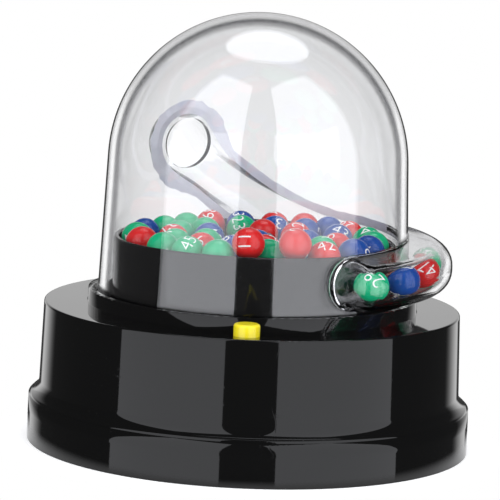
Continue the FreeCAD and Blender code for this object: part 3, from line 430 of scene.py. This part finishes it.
ballPlastics = {
    name: mouldedPlastic("ball" + name.capitalize(), {
        "colour": tones[0], "colour2": tones[1], "roughness": 0.16, "ior": 1.5, "waves": 160.0,
        "peel": 0.08, "scratches": 160.0, "dust": 0.05, "dustShow": 0.12, "scratchShow": 0.2,
        "bump": 0.02 * mm,
        "glowWeight": 0.12, "glowRadius": tones[1], "glowScale": 1.2 * mm,
    }) for name, tones in ballPaints.items()
}
numeralInk = mouldedPlastic("numeralInk", {
    "colour": (0.82, 0.82, 0.80), "colour2": (0.88, 0.88, 0.87), "roughness": 0.35, "ior": 1.5,
    "waves": 300.0, "peel": 0.3, "scratches": 200.0, "dust": 0.05, "dustShow": 0.1,
    "scratchShow": 0.1, "bump": 0.01 * mm,
})
boardGreen = mouldedPlastic("boardGreen", {
    "colour": (0.012, 0.10, 0.035), "colour2": (0.02, 0.14, 0.05), "roughness": 0.3, "ior": 1.5,
    "waves": 150.0, "peel": 0.2, "scratches": 150.0, "dust": 0.1, "dustShow": 0.2,
    "scratchShow": 0.1, "bump": 0.02 * mm,
})
cellJacket = mouldedPlastic("cellJacket", {
    "colour": (0.02, 0.035, 0.06), "colour2": (0.03, 0.05, 0.08), "roughness": 0.25, "ior": 1.5,
    "waves": 60.0, "peel": 0.05, "scratches": 90.0, "dust": 0.1, "dustShow": 0.1,
    "scratchShow": 0.2, "bump": 0.02 * mm,
})


def platedMetal(name, v):
    # Plated sheet and screws: cloudy plating with fine scratches.
    material, tree, shader = newMaterial(name)
    skin = placeGroup(tree, skinGroup, Wave_Scale=v["waves"], Peel_Share=v["peel"])
    marks = placeGroup(tree, marksGroup, Scratch_Scale=v["scratches"], Dust_Cover=v["dust"])
    shade = mixColour(tree, skin.outputs["Flow"], v["colour"], v["colour2"])
    join(tree, (shade, shader.inputs["Base Color"]))
    shader.inputs["Metallic"].default_value = 1.0
    worn = mathNode(tree, "MULTIPLY", marks.outputs["Scratches"], v["scratchShow"])
    cloud = mathNode(tree, "MULTIPLY", skin.outputs["Flow"], v["cloud"])
    rough = mathNode(tree, "ADD", mathNode(tree, "ADD", worn, cloud), v["roughness"], clamp=True)
    join(tree, (rough, shader.inputs["Roughness"]))
    addBump(tree, shader, marks.outputs["Height"], v["bump"])
    return material


zinc = platedMetal("zinc", {
    "colour": (0.60, 0.60, 0.61), "colour2": (0.70, 0.70, 0.70), "roughness": 0.24, "cloud": 0.15,
    "waves": 120.0, "peel": 0.4, "scratches": 140.0, "dust": 0.1, "scratchShow": 0.25,
    "bump": 0.01 * mm,
})
nickel = platedMetal("nickel", {
    "colour": (0.68, 0.66, 0.61), "colour2": (0.76, 0.74, 0.69), "roughness": 0.16, "cloud": 0.1,
    "waves": 150.0, "peel": 0.4, "scratches": 160.0, "dust": 0.1, "scratchShow": 0.25,
    "bump": 0.01 * mm,
})


def clearPlastic(name, v):
    # Clear plastic whose colour carries painted shade: it greys where it is looked at edge on. Lamps
    # shine through it unbent.
    material, tree, shader = newMaterial(name)
    output = tree.nodes["Material Output"]
    shader.inputs["Transmission Weight"].default_value = 1.0
    shader.inputs["IOR"].default_value = v["ior"]
    facing = addNode(tree, "LayerWeight", Blend=0.5)
    # painted shade: the colour darkens to the edge shade colour where the face is seen edge on
    paintedEdgeShade = smoothRange(tree, facing.outputs["Facing"], v["edgeShadeStart"], v["edgeShadeFull"])
    tint = mixColour(tree, paintedEdgeShade, v["colour"], v["edgeShadeColour"])
    marks = placeGroup(tree, marksGroup, Scratch_Scale=v["scratches"], Dust_Cover=v["dust"])
    skin = placeGroup(tree, skinGroup, Wave_Scale=v["waves"], Peel_Share=v["peel"])
    join(tree, (tint, shader.inputs["Base Color"]))
    worn = mathNode(tree, "MULTIPLY", marks.outputs["Scratches"], v["scratchShow"], clamp=True)
    join(tree, (worn, shader.inputs["Roughness"]))
    addBump(tree, shader, skin.outputs["Height"], v["bump"])
    path = addNode(tree, "LightPath")
    through = addNode(tree, "BsdfTransparent", Color=v["shadow"] + (1.0,))
    lampRays = mathNode(tree, "MAXIMUM", path.outputs["Is Shadow Ray"], path.outputs["Is Diffuse Ray"])
    mix = addNode(tree, "MixShader")
    join(tree, (lampRays, mix.inputs[0]), (shader.outputs[0], mix.inputs[1]),
         (through.outputs[0], mix.inputs[2]), (mix.outputs[0], output.inputs[0]))
    return material


# The edge shade colours below are painted shade on the clear plastic's edges, not a tint of the plastic.
domeClear = clearPlastic("domeClear", {
    "ior": 1.59, "colour": (0.985, 0.988, 0.996), "edgeShadeColour": (0.16, 0.16, 0.18),
    "edgeShadeStart": 0.66, "edgeShadeFull": 0.86, "scratches": 50.0, "dust": 0.06, "waves": 16.0,
    "peel": 0.0, "scratchShow": 0.05, "bump": 0.01 * mm, "shadow": (0.93, 0.93, 0.935),
})
coverClear = clearPlastic("coverClear", {
    "ior": 1.49, "colour": (0.985, 0.987, 0.992), "edgeShadeColour": (0.20, 0.20, 0.23),
    "edgeShadeStart": 0.62, "edgeShadeFull": 0.90, "scratches": 90.0, "dust": 0.06, "waves": 90.0,
    "peel": 0.1, "scratchShow": 0.06, "bump": 0.04 * mm, "shadow": (0.93, 0.93, 0.935),
})
weldFrost = mouldedPlastic("weldFrost", {
    "colour": (0.60, 0.60, 0.66), "colour2": (0.80, 0.80, 0.85), "roughness": 0.30, "ior": 1.5,
    "waves": 260.0, "peel": 0.4, "scratches": 200.0, "dust": 0.2, "dustShow": 0.2,
    "scratchShow": 0.2, "bump": 0.2 * mm,
})
print("materials ready")


# ---- helpers for pieces ----------------------------------------------------------------------
def newPiece(name, mesh, body, slot, *replaced):
    piece = bpy.data.objects.new(name, mesh)
    scene.collection.objects.link(piece)
    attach(piece, body)
    if replaced:
        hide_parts(*replaced)
    return piece


def meshFrom(name, bm, *materials):
    mesh = bpy.data.meshes.new(name)
    bm.to_mesh(mesh)
    bm.free()
    for material in materials:
        mesh.materials.append(material)
    return mesh


def smoothMesh(mesh, crease=32.0):
    mesh.shade_smooth()
    mesh.set_sharp_from_angle(angle=math.radians(crease))


def mergedCopy(node, name, material):
    # A copy of a node's mesh with its faces joined, and one material.
    bm = bmesh.new()
    bm.from_mesh(nodes[node].data)
    bmesh.ops.remove_doubles(bm, verts=bm.verts, dist=1e-7)
    mesh = meshFrom(name, bm, material)
    for polygon in mesh.polygons:
        polygon.material_index = 0
    smoothMesh(mesh)
    return mesh


def turnedNormals(mesh, axis=(0.0, 0.0), sidewaysLimit=0.06):
    # Faces turned about an upright axis get that surface's own normals, with no sideways part.
    corners = np.zeros(len(mesh.loops) * 3, np.float32)
    mesh.corner_normals.foreach_get("vector", corners)
    corners = corners.reshape(-1, 3)
    places = np.array([v.co for v in mesh.vertices])
    owner = np.array([loop.vertex_index for loop in mesh.loops])
    out = places[owner][:, :2] - np.array(axis)
    out /= np.maximum(np.linalg.norm(out, axis=1), 1e-9)[:, None]
    for polygon in mesh.polygons:
        middle = Vector(polygon.center[:2]) - Vector(axis)
        if middle.length < 1e-9:
            continue
        sideways = Vector((-middle.y, middle.x)).normalized()
        if abs(sideways.dot(Vector(polygon.normal[:2]))) > sidewaysLimit:
            continue
        for loop in polygon.loop_indices:
            along = float(corners[loop][:2] @ out[loop])
            normal = Vector((out[loop][0] * along, out[loop][1] * along, float(corners[loop][2])))
            if normal.length > 0.1:
                corners[loop] = normal.normalized()
    mesh.normals_split_custom_set([tuple(n) for n in corners])


def dressTurned(node, name, body, slot, material, axis=(0.0, 0.0)):
    mesh = mergedCopy(node, name, material)
    turnedNormals(mesh, axis)
    return newPiece(name, mesh, body, slot, node)


def nodeMiddle(node):
    low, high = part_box(node)
    return (low + high) / 2


def paint(node, material):
    for slot in nodes[node].material_slots:
        slot.material = material


def turnedMesh(outline, turns, centre=(0.0, 0.0)):
    # A closed outline of (radius, height) turned about an upright axis. It runs up the outside.
    bm = bmesh.new()
    rings = []
    for radius, height in outline:
        if radius < 1e-6:
            rings.append([bm.verts.new((centre[0], centre[1], height))])
            continue
        rings.append([bm.verts.new((centre[0] + radius * math.cos(math.tau * i / turns),
                                    centre[1] + radius * math.sin(math.tau * i / turns), height))
                      for i in range(turns)])
    for below, above in zip(rings, rings[1:] + rings[:1]):
        for i in range(turns):
            k = (i + 1) % turns
            if len(below) == 1 and len(above) == 1:
                continue
            if len(above) == 1:
                bm.faces.new((below[i], below[k], above[0]))
            elif len(below) == 1:
                bm.faces.new((below[0], above[k], above[i]))
            else:
                bm.faces.new((below[i], below[k], above[k], above[i]))
    return bm


def applyModifiers(piece):
    # The piece's mesh with its modifiers in it.
    graph = bpy.context.evaluated_depsgraph_get()
    mesh = bpy.data.meshes.new_from_object(piece.evaluated_get(graph))
    piece.modifiers.clear()
    old = piece.data
    piece.data = mesh
    bpy.data.meshes.remove(old)


def cutWith(mesh, cutter, operation="DIFFERENCE"):
    piece = bpy.data.objects.new("blank", mesh)
    tool = bpy.data.objects.new("cutter", cutter)
    for item in (piece, tool):
        scene.collection.objects.link(item)
    cut = piece.modifiers.new("cut", "BOOLEAN")
    cut.object, cut.operation, cut.solver = tool, operation, "EXACT"
    applyModifiers(piece)
    mesh = piece.data
    bpy.data.objects.remove(piece)
    bpy.data.objects.remove(tool)
    return mesh


# ---- base ------------------------------------------------------------------------------------
skirtSizes = {
    "wall": 61.75 * mm, "coveTop": 17.3 * mm, "coveRound": 4.4 * mm, "coveTurn": 60.0,
    "edgeRound": 1.0 * mm, "seam": 12.69 * mm, "rim": 61.0 * mm, "rimRound": 0.6 * mm,
    "deck": 40.62 * mm, "deckInner": 47.6 * mm, "collar": 48.23 * mm,
    "turns": 288, "coveSteps": 12, "roundSteps": 8,
    "ringsOff": (0.3 * mm, 0.5 * mm),   # rings that keep the deck's shading flat up to its edges
    # The skin's hidden side in mm, from the deck's inner edge down to the seam. The shell below
    # is trimmed to this line, plus an overlap.
    "inside": ((47.6, 36.2), (59.0, 39.9), (60.0, 38.5), (61.0, 18.0), (60.9, 17.3), (61.9, 14.9),
               (62.9, 13.5), (63.4, 12.69)),
    "overlap": 0.2 * mm, "outside": 68.0 * mm, "clear": 1 * mm,
    "holeRadius": 4.05 * mm, "holeFoot": 34.0 * mm, "holeHead": 45.62 * mm, "holeTurns": 64,
}


def skirtOutline(v):
    # From the seam up the small rounded edge, the hollow cove and the wall to the flat deck.
    turn = math.radians(v["coveTurn"])
    cove = []
    for i in range(v["coveSteps"] + 1):
        at = turn * i / v["coveSteps"]
        cove.append((v["wall"] + v["coveRound"] * (1 - math.cos(at)),
                     v["coveTop"] - v["coveRound"] * math.sin(at)))
    radius, height = cove[-1]
    for i in range(1, v["roundSteps"] + 1):
        at = turn * (1 - i / v["roundSteps"])
        fall = v["edgeRound"] * (math.sin(turn) - math.sin(at))
        cove.append((radius + v["edgeRound"] * (math.cos(at) - math.cos(turn)),
                     max(height - fall, v["seam"] + i * 1e-8)))
    cove.append((cove[-1][0], v["seam"]))
    rim = []
    for i in range(v["roundSteps"] + 1):
        at = math.pi / 2 * i / v["roundSteps"]
        rim.append((v["rim"] - v["rimRound"] * (1 - math.cos(at)),
                    v["deck"] - v["rimRound"] * (1 - math.sin(at))))
    outer, inner = v["ringsOff"]
    across = (v["rim"] - v["rimRound"] - outer, v["collar"] + inner, v["deckInner"])
    return cove[::-1] + rim + [(radius, v["deck"]) for radius in across]


def makeBase(v):
    inside = [(radius * mm, height * mm) for radius, height in v["inside"]]
    skin = meshFrom("skin", turnedMesh(skirtOutline(v) + inside, v["turns"]), blackGloss)
    button = nodeMiddle("button_cap")
    hole = turnedMesh([(0.0, v["holeFoot"]), (v["holeRadius"], v["holeFoot"]),
                       (v["holeRadius"], v["holeHead"]), (0.0, v["holeHead"])],
                      v["holeTurns"], (button.x, button.y))
    skin = cutWith(skin, meshFrom("buttonHole", hole))
    wall = [(radius + v["overlap"], height) for radius, height in inside[2:]]
    foot, head = v["seam"] - v["clear"], v["deck"] + v["clear"]
    around = [(wall[-1][0], foot), (v["outside"], foot), (v["outside"], head), (wall[0][0], head)]
    old = turnedMesh(wall + around, v["turns"])
    bmesh.ops.recalc_face_normals(old, faces=old.faces)
    shell = cutWith(mergedCopy("base_shell", "baseShell", blackGloss), meshFrom("oldSkin", old))
    shell = cutWith(shell, skin, "UNION")
    smoothMesh(shell)
    turnedNormals(shell)
    newPiece("baseShell", shell, "base", "black_gloss", "base_shell")
    dressTurned("bottom_tray", "footTray", "base", "black_gloss", blackGloss)


dressTurned("ball_cup", "ballCup", "base", "cup_black", cupBlack)
dressTurned("turning_table", "turningTable", "rotor", "cup_black", cupBlack)
makeBase(skirtSizes)
print("base ready")


# ---- dome ------------------------------------------------------------------------------------
domeSizes = {
    "footRadius": 45.83 * mm, "radius": 43.86 * mm, "top": 126.4 * mm, "seat": 36.2 * mm,
    "wall": 2.0 * mm, "mouthRadius": 7.9 * mm, "mouthAngle": 121.8, "mouthHeight": 83.8 * mm,
    "cutterMiddle": 28.64375 * mm, "cutterTurns": 128, "turns": 288, "rings": 56,
}


class DomeLine:
    # The dome's line: a tapered wall that runs tangent into a round top.
    def __init__(self, v, inset=0.0):
        self.foot = v["footRadius"] - inset
        self.seat = v["seat"]
        self.radius = v["radius"] - inset
        self.centre = v["top"] - v["radius"]
        drop = self.centre - self.seat
        self.lean = math.acos(self.radius / math.hypot(self.foot, drop)) - math.atan2(drop, self.foot)
        self.spring = self.centre + self.radius * math.sin(self.lean)

    def at(self, height):
        if height <= self.spring:
            return self.foot - (height - self.seat) * math.tan(self.lean)
        return math.sqrt(max(self.radius ** 2 - (height - self.centre) ** 2, 0.0))

    def outline(self, rings):
        # One ring in three is on the tapered wall.
        straight = rings // 3
        line = []
        for i in range(straight):
            height = self.seat + (self.spring - self.seat) * i / straight
            line.append((self.at(height), height))
        for i in range(rings - straight + 1):
            turn = self.lean + (math.pi / 2 - self.lean) * i / (rings - straight)
            line.append((self.radius * math.cos(turn), self.centre + self.radius * math.sin(turn)))
        return line


def makeDome(v):
    outside = DomeLine(v).outline(v["rings"])
    inside = DomeLine(v, v["wall"]).outline(v["rings"])
    outside[-1] = (0.0, outside[-1][1])
    inside[-1] = (0.0, inside[-1][1])
    shell = meshFrom("dome", turnedMesh(outside + inside[::-1], v["turns"]), domeClear)
    bm = bmesh.new()
    bmesh.ops.create_cone(bm, cap_ends=True, segments=v["cutterTurns"], radius1=v["mouthRadius"],
                          radius2=v["mouthRadius"], depth=v["footRadius"])
    way = math.radians(v["mouthAngle"])
    turn = Matrix.Rotation(way, 4, "Z") @ Matrix.Rotation(math.pi / 2, 4, "Y")
    middle = Vector((math.cos(way), math.sin(way), 0)) * v["cutterMiddle"]
    place = Matrix.Translation(middle + Vector((0, 0, v["mouthHeight"])))
    bmesh.ops.transform(bm, matrix=place @ turn, verts=bm.verts)
    mesh = cutWith(shell, meshFrom("mouthCutter", bm))
    smoothMesh(mesh)
    turnedNormals(mesh)
    newPiece("dome", mesh, "dome_unit", "clear", "dome")


makeDome(domeSizes)
print("dome ready")


# ---- chute cover -----------------------------------------------------------------------------
chuteSizes = {
    "endAngle": -51.5, "endHeight": 53.2 * mm, "bendAngle": 51.0, "bendHeight": 55.6 * mm,
    "width": 15.6 * mm, "runWidth": 18.0 * mm, "pocketWidth": 22.4 * mm, "depth": 13.0 * mm,
    "wall": 2.1 * mm, "draft": math.radians(10.0), "round": 6.2 * mm, "pocketReach": 14.0,
    "mouthAngle": domeSizes["mouthAngle"], "mouthHeight": domeSizes["mouthHeight"],
    "stations": 150, "capSteps": 26, "sideSteps": 6, "roundSteps": 8, "topSteps": 5,
    "weldGap": 0.03 * mm,
    "frostStart": 22.0,     # in front of this angle the foot is clear
}

beadSizes = {
    "run": (0.25 * mm, 0.3 * mm),       # half width and height of the weld's bead on the run
    "pocket": (1.35 * mm, 0.9 * mm),    # and round the pocket
    "pocketStart": 108.0, "pocketFull": 116.0,
    "outward": 0.9,                     # half widths from the cover's foot to the bead's middle
    "lumps": 420.0, "lumpShare": 0.45, "arcSteps": 8,
}


class ChutePath:
    # The chute's middle line on the dome: a slight fall all the way and a steep run to the mouth.
    def __init__(self, v, dome):
        self.v = v
        self.dome = dome
        self.fall = (v["bendHeight"] - v["endHeight"]) / (v["bendAngle"] - v["endAngle"])
        rise = v["mouthHeight"] - v["endHeight"] - self.fall * (v["mouthAngle"] - v["endAngle"])
        self.steepness = rise / (v["mouthAngle"] - v["bendAngle"]) ** 2

    def point(self, angle):
        v = self.v
        past = max(angle - v["bendAngle"], 0.0)
        height = v["endHeight"] + self.fall * (angle - v["endAngle"]) + self.steepness * past ** 2
        radius = self.dome.at(height)
        turn = math.radians(angle)
        return Vector((radius * math.cos(turn), radius * math.sin(turn), height))

    def frame(self, angle):
        turn = math.radians(angle)
        out = Vector((math.cos(turn), math.sin(turn), 0))
        run = self.point(angle + 0.5) - self.point(angle - 0.5)
        run = (run - out * run.dot(out)).normalized()
        return self.point(angle), out, out.cross(run), run

    def halfWidth(self, angle):
        v = self.v
        along = (angle - v["endAngle"]) / (v["mouthAngle"] - v["endAngle"])
        narrow = v["width"] + (v["runWidth"] - v["width"]) * along
        share = min(max((angle - v["mouthAngle"]) / v["pocketReach"] + 1, 0.0), 1.0)
        return (narrow + (v["pocketWidth"] - narrow) * share ** 2 * (3 - 2 * share)) / 2


def chuteColumns(v, path, inset):
    # Columns round the cover's plan, each from the foot on the dome up the side, round the corner
    # and over the flat top to the middle line. Feet: angle, point, and the ways aside and out.
    angles = [v["endAngle"] + (v["mouthAngle"] - v["endAngle"]) * i / v["stations"]
              for i in range(v["stations"] + 1)]
    columns = [(angle, 0.0, 1) for angle in angles]
    columns += [(angles[-1], math.pi * i / v["capSteps"], 1) for i in range(1, v["capSteps"])]
    columns += [(angle, 0.0, -1) for angle in reversed(angles)]
    columns += [(angles[0], math.pi * i / v["capSteps"], -1) for i in range(1, v["capSteps"])]
    lean, depth, bend = v["draft"], v["depth"] - inset, v["round"] - inset
    made = []
    feet = []
    for angle, turn, side in columns:
        origin, out, across, run = path.frame(angle)
        lateral = across * (side * math.cos(turn)) + run * (side * math.sin(turn))
        half = path.halfWidth(angle) - inset

        def place(depthAt, distance):
            return origin + lateral * distance + out * depthAt

        def offDome(depthAt):
            point = place(depthAt, half - depthAt * math.tan(lean))
            return math.hypot(point.x, point.y) - path.dome.at(point.z) - v["weldGap"]

        low, high = -v["width"], depth / 2
        for _ in range(40):
            middle = (low + high) / 2
            low, high = (middle, high) if offDome(middle) < 0 else (low, middle)
        foot = high
        tip = half - depth * math.tan(lean)
        reach = bend / math.tan((math.pi / 2 + lean) / 2)
        start = depth - reach * math.cos(lean)
        line = []
        for i in range(v["sideSteps"]):
            at = foot + (start - foot) * i / v["sideSteps"]
            line.append(place(at, half - at * math.tan(lean)))
        for i in range(v["roundSteps"] + 1):
            swing = lean + (math.pi / 2 - lean) * i / v["roundSteps"]
            line.append(place(depth - bend + bend * math.sin(swing),
                              tip - reach + bend * math.cos(swing)))
        for i in range(1, v["topSteps"] + 1):
            line.append(place(depth, (tip - reach) * (1 - i / v["topSteps"])))
        made.append(line)
        feet.append((angle, line[0], lateral, out))
    return made, feet


def makeChuteCover(v):
    path = ChutePath(v, DomeLine(domeSizes))
    bm = bmesh.new()
    shells = []
    for inset in (0.0, v["wall"]):
        columns, feet = chuteColumns(v, path, inset)
        shells.append([[bm.verts.new(point) for point in line] for line in columns])
    count = len(shells[0])
    for shell, outward in zip(shells, (True, False)):
        for i in range(count):
            here, after = shell[i], shell[(i + 1) % count]
            for k in range(len(here) - 1):
                ring = (here[k], after[k], after[k + 1], here[k + 1])
                bm.faces.new(ring if outward else ring[::-1])
    for i in range(count):
        k = (i + 1) % count
        face = bm.faces.new((shells[1][i][0], shells[1][k][0], shells[0][k][0], shells[0][i][0]))
        face.material_index = int(feet[i][0] > v["frostStart"])
    bmesh.ops.remove_doubles(bm, verts=bm.verts, dist=0.5e-6)
    bmesh.ops.recalc_face_normals(bm, faces=bm.faces)
    mesh = meshFrom("chuteCover", bm, coverClear, weldFrost)
    smoothMesh(mesh, 40.0)
    newPiece("chuteCover", mesh, "dome_unit", "clear", "chute_cover")


def makeWeldBead(v):
    # The bead squeezed out along the cover's foot: thin on the run and fat round the pocket.
    feet = chuteColumns(chuteSizes, ChutePath(chuteSizes, DomeLine(domeSizes)), 0.0)[1]
    bm = bmesh.new()
    rings = []
    for angle, foot, lateral, out in feet:
        share = min(max((angle - v["pocketStart"]) / (v["pocketFull"] - v["pocketStart"]), 0.0), 1.0)
        lump = 1 + v["lumpShare"] * noise.noise(foot * v["lumps"])
        half, height = [(a + (b - a) * share) * lump for a, b in zip(v["run"], v["pocket"])]
        ring = []
        for i in range(v["arcSteps"] + 1):
            turn = math.pi * i / v["arcSteps"]
            aside = lateral * half * (v["outward"] - math.cos(turn))
            ring.append(bm.verts.new(foot + aside + out * height * math.sin(turn)))
        rings.append(ring)
    for foot, here, after in zip(feet, rings, rings[1:] + rings[:1]):
        for k in range(len(here)):
            m = (k + 1) % len(here)
            face = bm.faces.new((here[k], here[m], after[m], after[k]))
            face.material_index = int(foot[0] > chuteSizes["frostStart"])
    bmesh.ops.recalc_face_normals(bm, faces=bm.faces)
    mesh = meshFrom("weldBead", bm, coverClear, weldFrost)
    smoothMesh(mesh, 60.0)
    newPiece("weldBead", mesh, "dome_unit", "clear")


makeChuteCover(chuteSizes)
makeWeldBead(beadSizes)
print("chute cover ready")


# ---- balls -----------------------------------------------------------------------------------
ballSizes = {
    "diameter": 9.2 * mm, "segments": 40, "rings": 24, "seed": 11, "fewestFacets": 20,
    "capHeight": 3.9 * mm, "capShare": 0.70,    # capShare: a capital's height over the font's size
    "numeralThin": -0.010, "longestEdge": 0.7 * mm, "inkHeight": 0.03 * mm, "inkDepth": 0.06 * mm,
    "faceWay": (0.0, -0.9, 0.5),                # numbers lean this way, to the front and up
}


def ballCentres(node):
    # Centres found from the facets: each lies one radius inside its facet.
    data = nodes[node].data
    radius = ballSizes["diameter"] / 2
    guesses = np.array([list(p.center - p.normal * radius) for p in data.polygons])
    centres = []
    while len(guesses):
        near = np.linalg.norm(guesses - guesses[0], axis=1) < radius / 2
        if near.sum() > ballSizes["fewestFacets"]:
            centres.append(Vector(guesses[near].mean(axis=0)))
        guesses = guesses[~near]
    return sorted(centres, key=lambda c: (round(c.y, 5), round(c.x, 5)))


def makeBallTree(v):
    # Puts a ball on each point, turns each by chance and gives all the plastic.
    tree = bpy.data.node_groups.new("ballMaker", "GeometryNodeTree")
    tree.interface.new_socket("Geometry", in_out="INPUT", socket_type="NodeSocketGeometry")
    for name, kind in (("Diameter", "NodeSocketFloat"), ("Seed", "NodeSocketInt"),
                       ("Plastic", "NodeSocketMaterial")):
        tree.interface.new_socket(name, in_out="INPUT", socket_type=kind)
    tree.interface.new_socket("Geometry", in_out="OUTPUT", socket_type="NodeSocketGeometry")
    start = tree.nodes.new("NodeGroupInput")
    end = tree.nodes.new("NodeGroupOutput")
    half = tree.nodes.new("ShaderNodeMath")
    half.operation = "DIVIDE"
    half.inputs[1].default_value = 2.0
    ball = tree.nodes.new("GeometryNodeMeshUVSphere")
    ball.inputs["Segments"].default_value = v["segments"]
    ball.inputs["Rings"].default_value = v["rings"]
    chance = tree.nodes.new("FunctionNodeRandomValue")
    chance.data_type = "FLOAT_VECTOR"
    chance.inputs["Max"].default_value = (math.tau, math.tau, math.tau)
    copies = tree.nodes.new("GeometryNodeInstanceOnPoints")
    real = tree.nodes.new("GeometryNodeRealizeInstances")
    smooth = tree.nodes.new("GeometryNodeSetShadeSmooth")
    dress = tree.nodes.new("GeometryNodeSetMaterial")
    for first, second in (
            (start.outputs["Diameter"], half.inputs[0]),
            (half.outputs[0], ball.inputs["Radius"]),
            (start.outputs["Seed"], chance.inputs["Seed"]),
            (start.outputs["Geometry"], copies.inputs["Points"]),
            (ball.outputs["Mesh"], copies.inputs["Instance"]),
            (chance.outputs["Value"], copies.inputs["Rotation"]),
            (copies.outputs[0], real.inputs[0]),
            (real.outputs[0], smooth.inputs[0]),
            (smooth.outputs[0], dress.inputs["Geometry"]),
            (start.outputs["Plastic"], dress.inputs["Material"]),
            (dress.outputs[0], end.inputs[0])):
        tree.links.new(first, second)
    return tree


def runTree(piece, tree, values):
    # Sets the tree's inputs by their identifiers and keeps the result as a plain mesh.
    step = piece.modifiers.new("maker", "NODES")
    step.node_group = tree
    for socket in tree.interface.items_tree:
        if socket.in_out == "INPUT" and socket.name in values:
            step[socket.identifier] = values[socket.name]
    applyModifiers(piece)
    return piece.data


def makeBalls(tree, node, body, colour, seed):
    centres = ballCentres(node)
    points = bpy.data.meshes.new(node + "Points")
    points.from_pydata([tuple(c) for c in centres], [], [])
    carrier = bpy.data.objects.new("carrier", points)
    scene.collection.objects.link(carrier)
    mesh = runTree(carrier, tree, {"Diameter": ballSizes["diameter"], "Seed": seed,
                                   "Plastic": ballPlastics[colour]})
    bpy.data.objects.remove(carrier)
    mesh.name = node
    words = node.split("_")
    name = words[0] + "".join(word.capitalize() for word in words[1:])
    newPiece(name, mesh, body, "ball_" + colour, node)
    return centres


def numeralMesh(text):
    # The number as a thin plate round the origin, cut fine enough to bend onto a ball. Its height
    # is measured from the ball's face.
    curve = bpy.data.curves.new("numeral", "FONT")
    curve.body = text
    curve.size = 1.0
    curve.align_x, curve.align_y = "CENTER", "CENTER"
    curve.offset = ballSizes["numeralThin"]
    curve.resolution_u = 3
    item = bpy.data.objects.new("numeral", curve)
    scene.collection.objects.link(item)
    mesh = bpy.data.meshes.new_from_object(item.evaluated_get(bpy.context.evaluated_depsgraph_get()))
    bpy.data.objects.remove(item)
    bpy.data.curves.remove(curve)
    bm = bmesh.new()
    bm.from_mesh(mesh)
    bpy.data.meshes.remove(mesh)
    scale = ballSizes["capHeight"] / ballSizes["capShare"]
    bmesh.ops.scale(bm, vec=(scale, scale, scale), verts=bm.verts)
    low = Vector((min(v.co.x for v in bm.verts), min(v.co.y for v in bm.verts), 0))
    high = Vector((max(v.co.x for v in bm.verts), max(v.co.y for v in bm.verts), 0))
    bmesh.ops.translate(bm, vec=-(low + high) / 2, verts=bm.verts)
    bmesh.ops.remove_doubles(bm, verts=bm.verts, dist=1e-6)
    bmesh.ops.triangulate(bm, faces=bm.faces)
    for _ in range(3):
        longEdges = [e for e in bm.edges if e.calc_length() > ballSizes["longestEdge"]]
        if not longEdges:
            break
        bmesh.ops.subdivide_edges(bm, edges=longEdges, cuts=1)
        bmesh.ops.triangulate(bm, faces=bm.faces)
    bmesh.ops.solidify(bm, geom=bm.faces, thickness=-ballSizes["inkDepth"])
    rise = ballSizes["inkHeight"] - max(v.co.z for v in bm.verts)
    bmesh.ops.translate(bm, vec=(0, 0, rise), verts=bm.verts)
    return bm


def wrapOnBall(bm, centre, way, up):
    # Bends the number onto the ball where way points, with its top towards up.
    radius = ballSizes["diameter"] / 2
    across = up.cross(way).normalized()
    above = way.cross(across)
    for vertex in bm.verts:
        flat = Vector((vertex.co.x, vertex.co.y))
        turn = flat.length / radius
        side = (across * flat.x + above * flat.y).normalized() if flat.length > 1e-9 else across
        ray = way * math.cos(turn) + side * math.sin(turn)
        vertex.co = centre + ray * (radius + vertex.co.z)


def chanceWay(dice):
    # A way chosen evenly over the sphere.
    rise = dice.uniform(-1, 1)
    turn = dice.uniform(0, math.tau)
    flat = math.sqrt(1 - rise * rise)
    return Vector((flat * math.cos(turn), flat * math.sin(turn), rise))


def makeNumerals(name, body, centres, numbers, ways, dice):
    # Each ball has its number on two opposite sides, each turned by chance.
    everything = bmesh.new()
    for centre, number, way in zip(centres, numbers, ways):
        for side in (1, -1):
            up = chanceWay(dice)
            if abs(up.dot(way)) > 0.95:
                up = way.orthogonal()
            bm = numeralMesh(str(number))
            wrapOnBall(bm, centre, way * side, up)
            part = bpy.data.meshes.new("part")
            bm.to_mesh(part)
            bm.free()
            everything.from_mesh(part)
            bpy.data.meshes.remove(part)
    bmesh.ops.recalc_face_normals(everything, faces=everything.faces)
    newPiece(name, meshFrom(name, everything, numeralInk), body, "inner_white")


def makeAllBalls():
    tree = makeBallTree(ballSizes)
    dice = random.Random(ballSizes["seed"])
    centres = {"rotor": [], "dome_unit": []}
    for seed, (node, body, colour) in enumerate((
            ("balls_red", "rotor", "red"), ("balls_green", "rotor", "green"),
            ("balls_blue", "rotor", "blue"), ("drawn_balls_green", "dome_unit", "green"),
            ("drawn_balls_blue", "dome_unit", "blue"), ("drawn_balls_red", "dome_unit", "red"))):
        centres[body] += makeBalls(tree, node, body, colour, seed)
    numbers = list(range(1, len(centres["rotor"]) + len(centres["dome_unit"]) + 1))
    dice.shuffle(numbers)
    drawn = [numbers.pop() for _ in centres["dome_unit"]]
    front = Vector(ballSizes["faceWay"])
    for name, body, chosen in (("tableNumerals", "rotor", numbers),
                               ("drawnNumerals", "dome_unit", drawn)):
        ways = [(chanceWay(dice) + front).normalized() for _ in chosen]
        makeNumerals(name, body, centres[body], chosen, ways, dice)


makeAllBalls()
print("balls ready")


# ---- the rest --------------------------------------------------------------------------------
for node, material in {
        "battery_cells": cellJacket, "contact_plates": nickel, "contact_leaves": nickel,
        "tray_screws": zinc, "cup_screws": zinc, "motor_can": zinc, "motor_endcap": innerWhite,
        "motor_clamp": zinc, "clamp_screws": zinc, "switch_body": innerBlack,
        "switch_board": boardGreen, "board_screws": zinc, "battery_door": innerBlack,
        "door_screws": zinc, "motor_shaft": zinc, "switch_plunger": innerWhite}.items():
    paint(node, material)

cap = nodeMiddle("button_cap")
dressTurned("button_cap", "buttonCap", "button", "button_yellow", buttonYellow, (cap.x, cap.y))
print("small pieces ready")
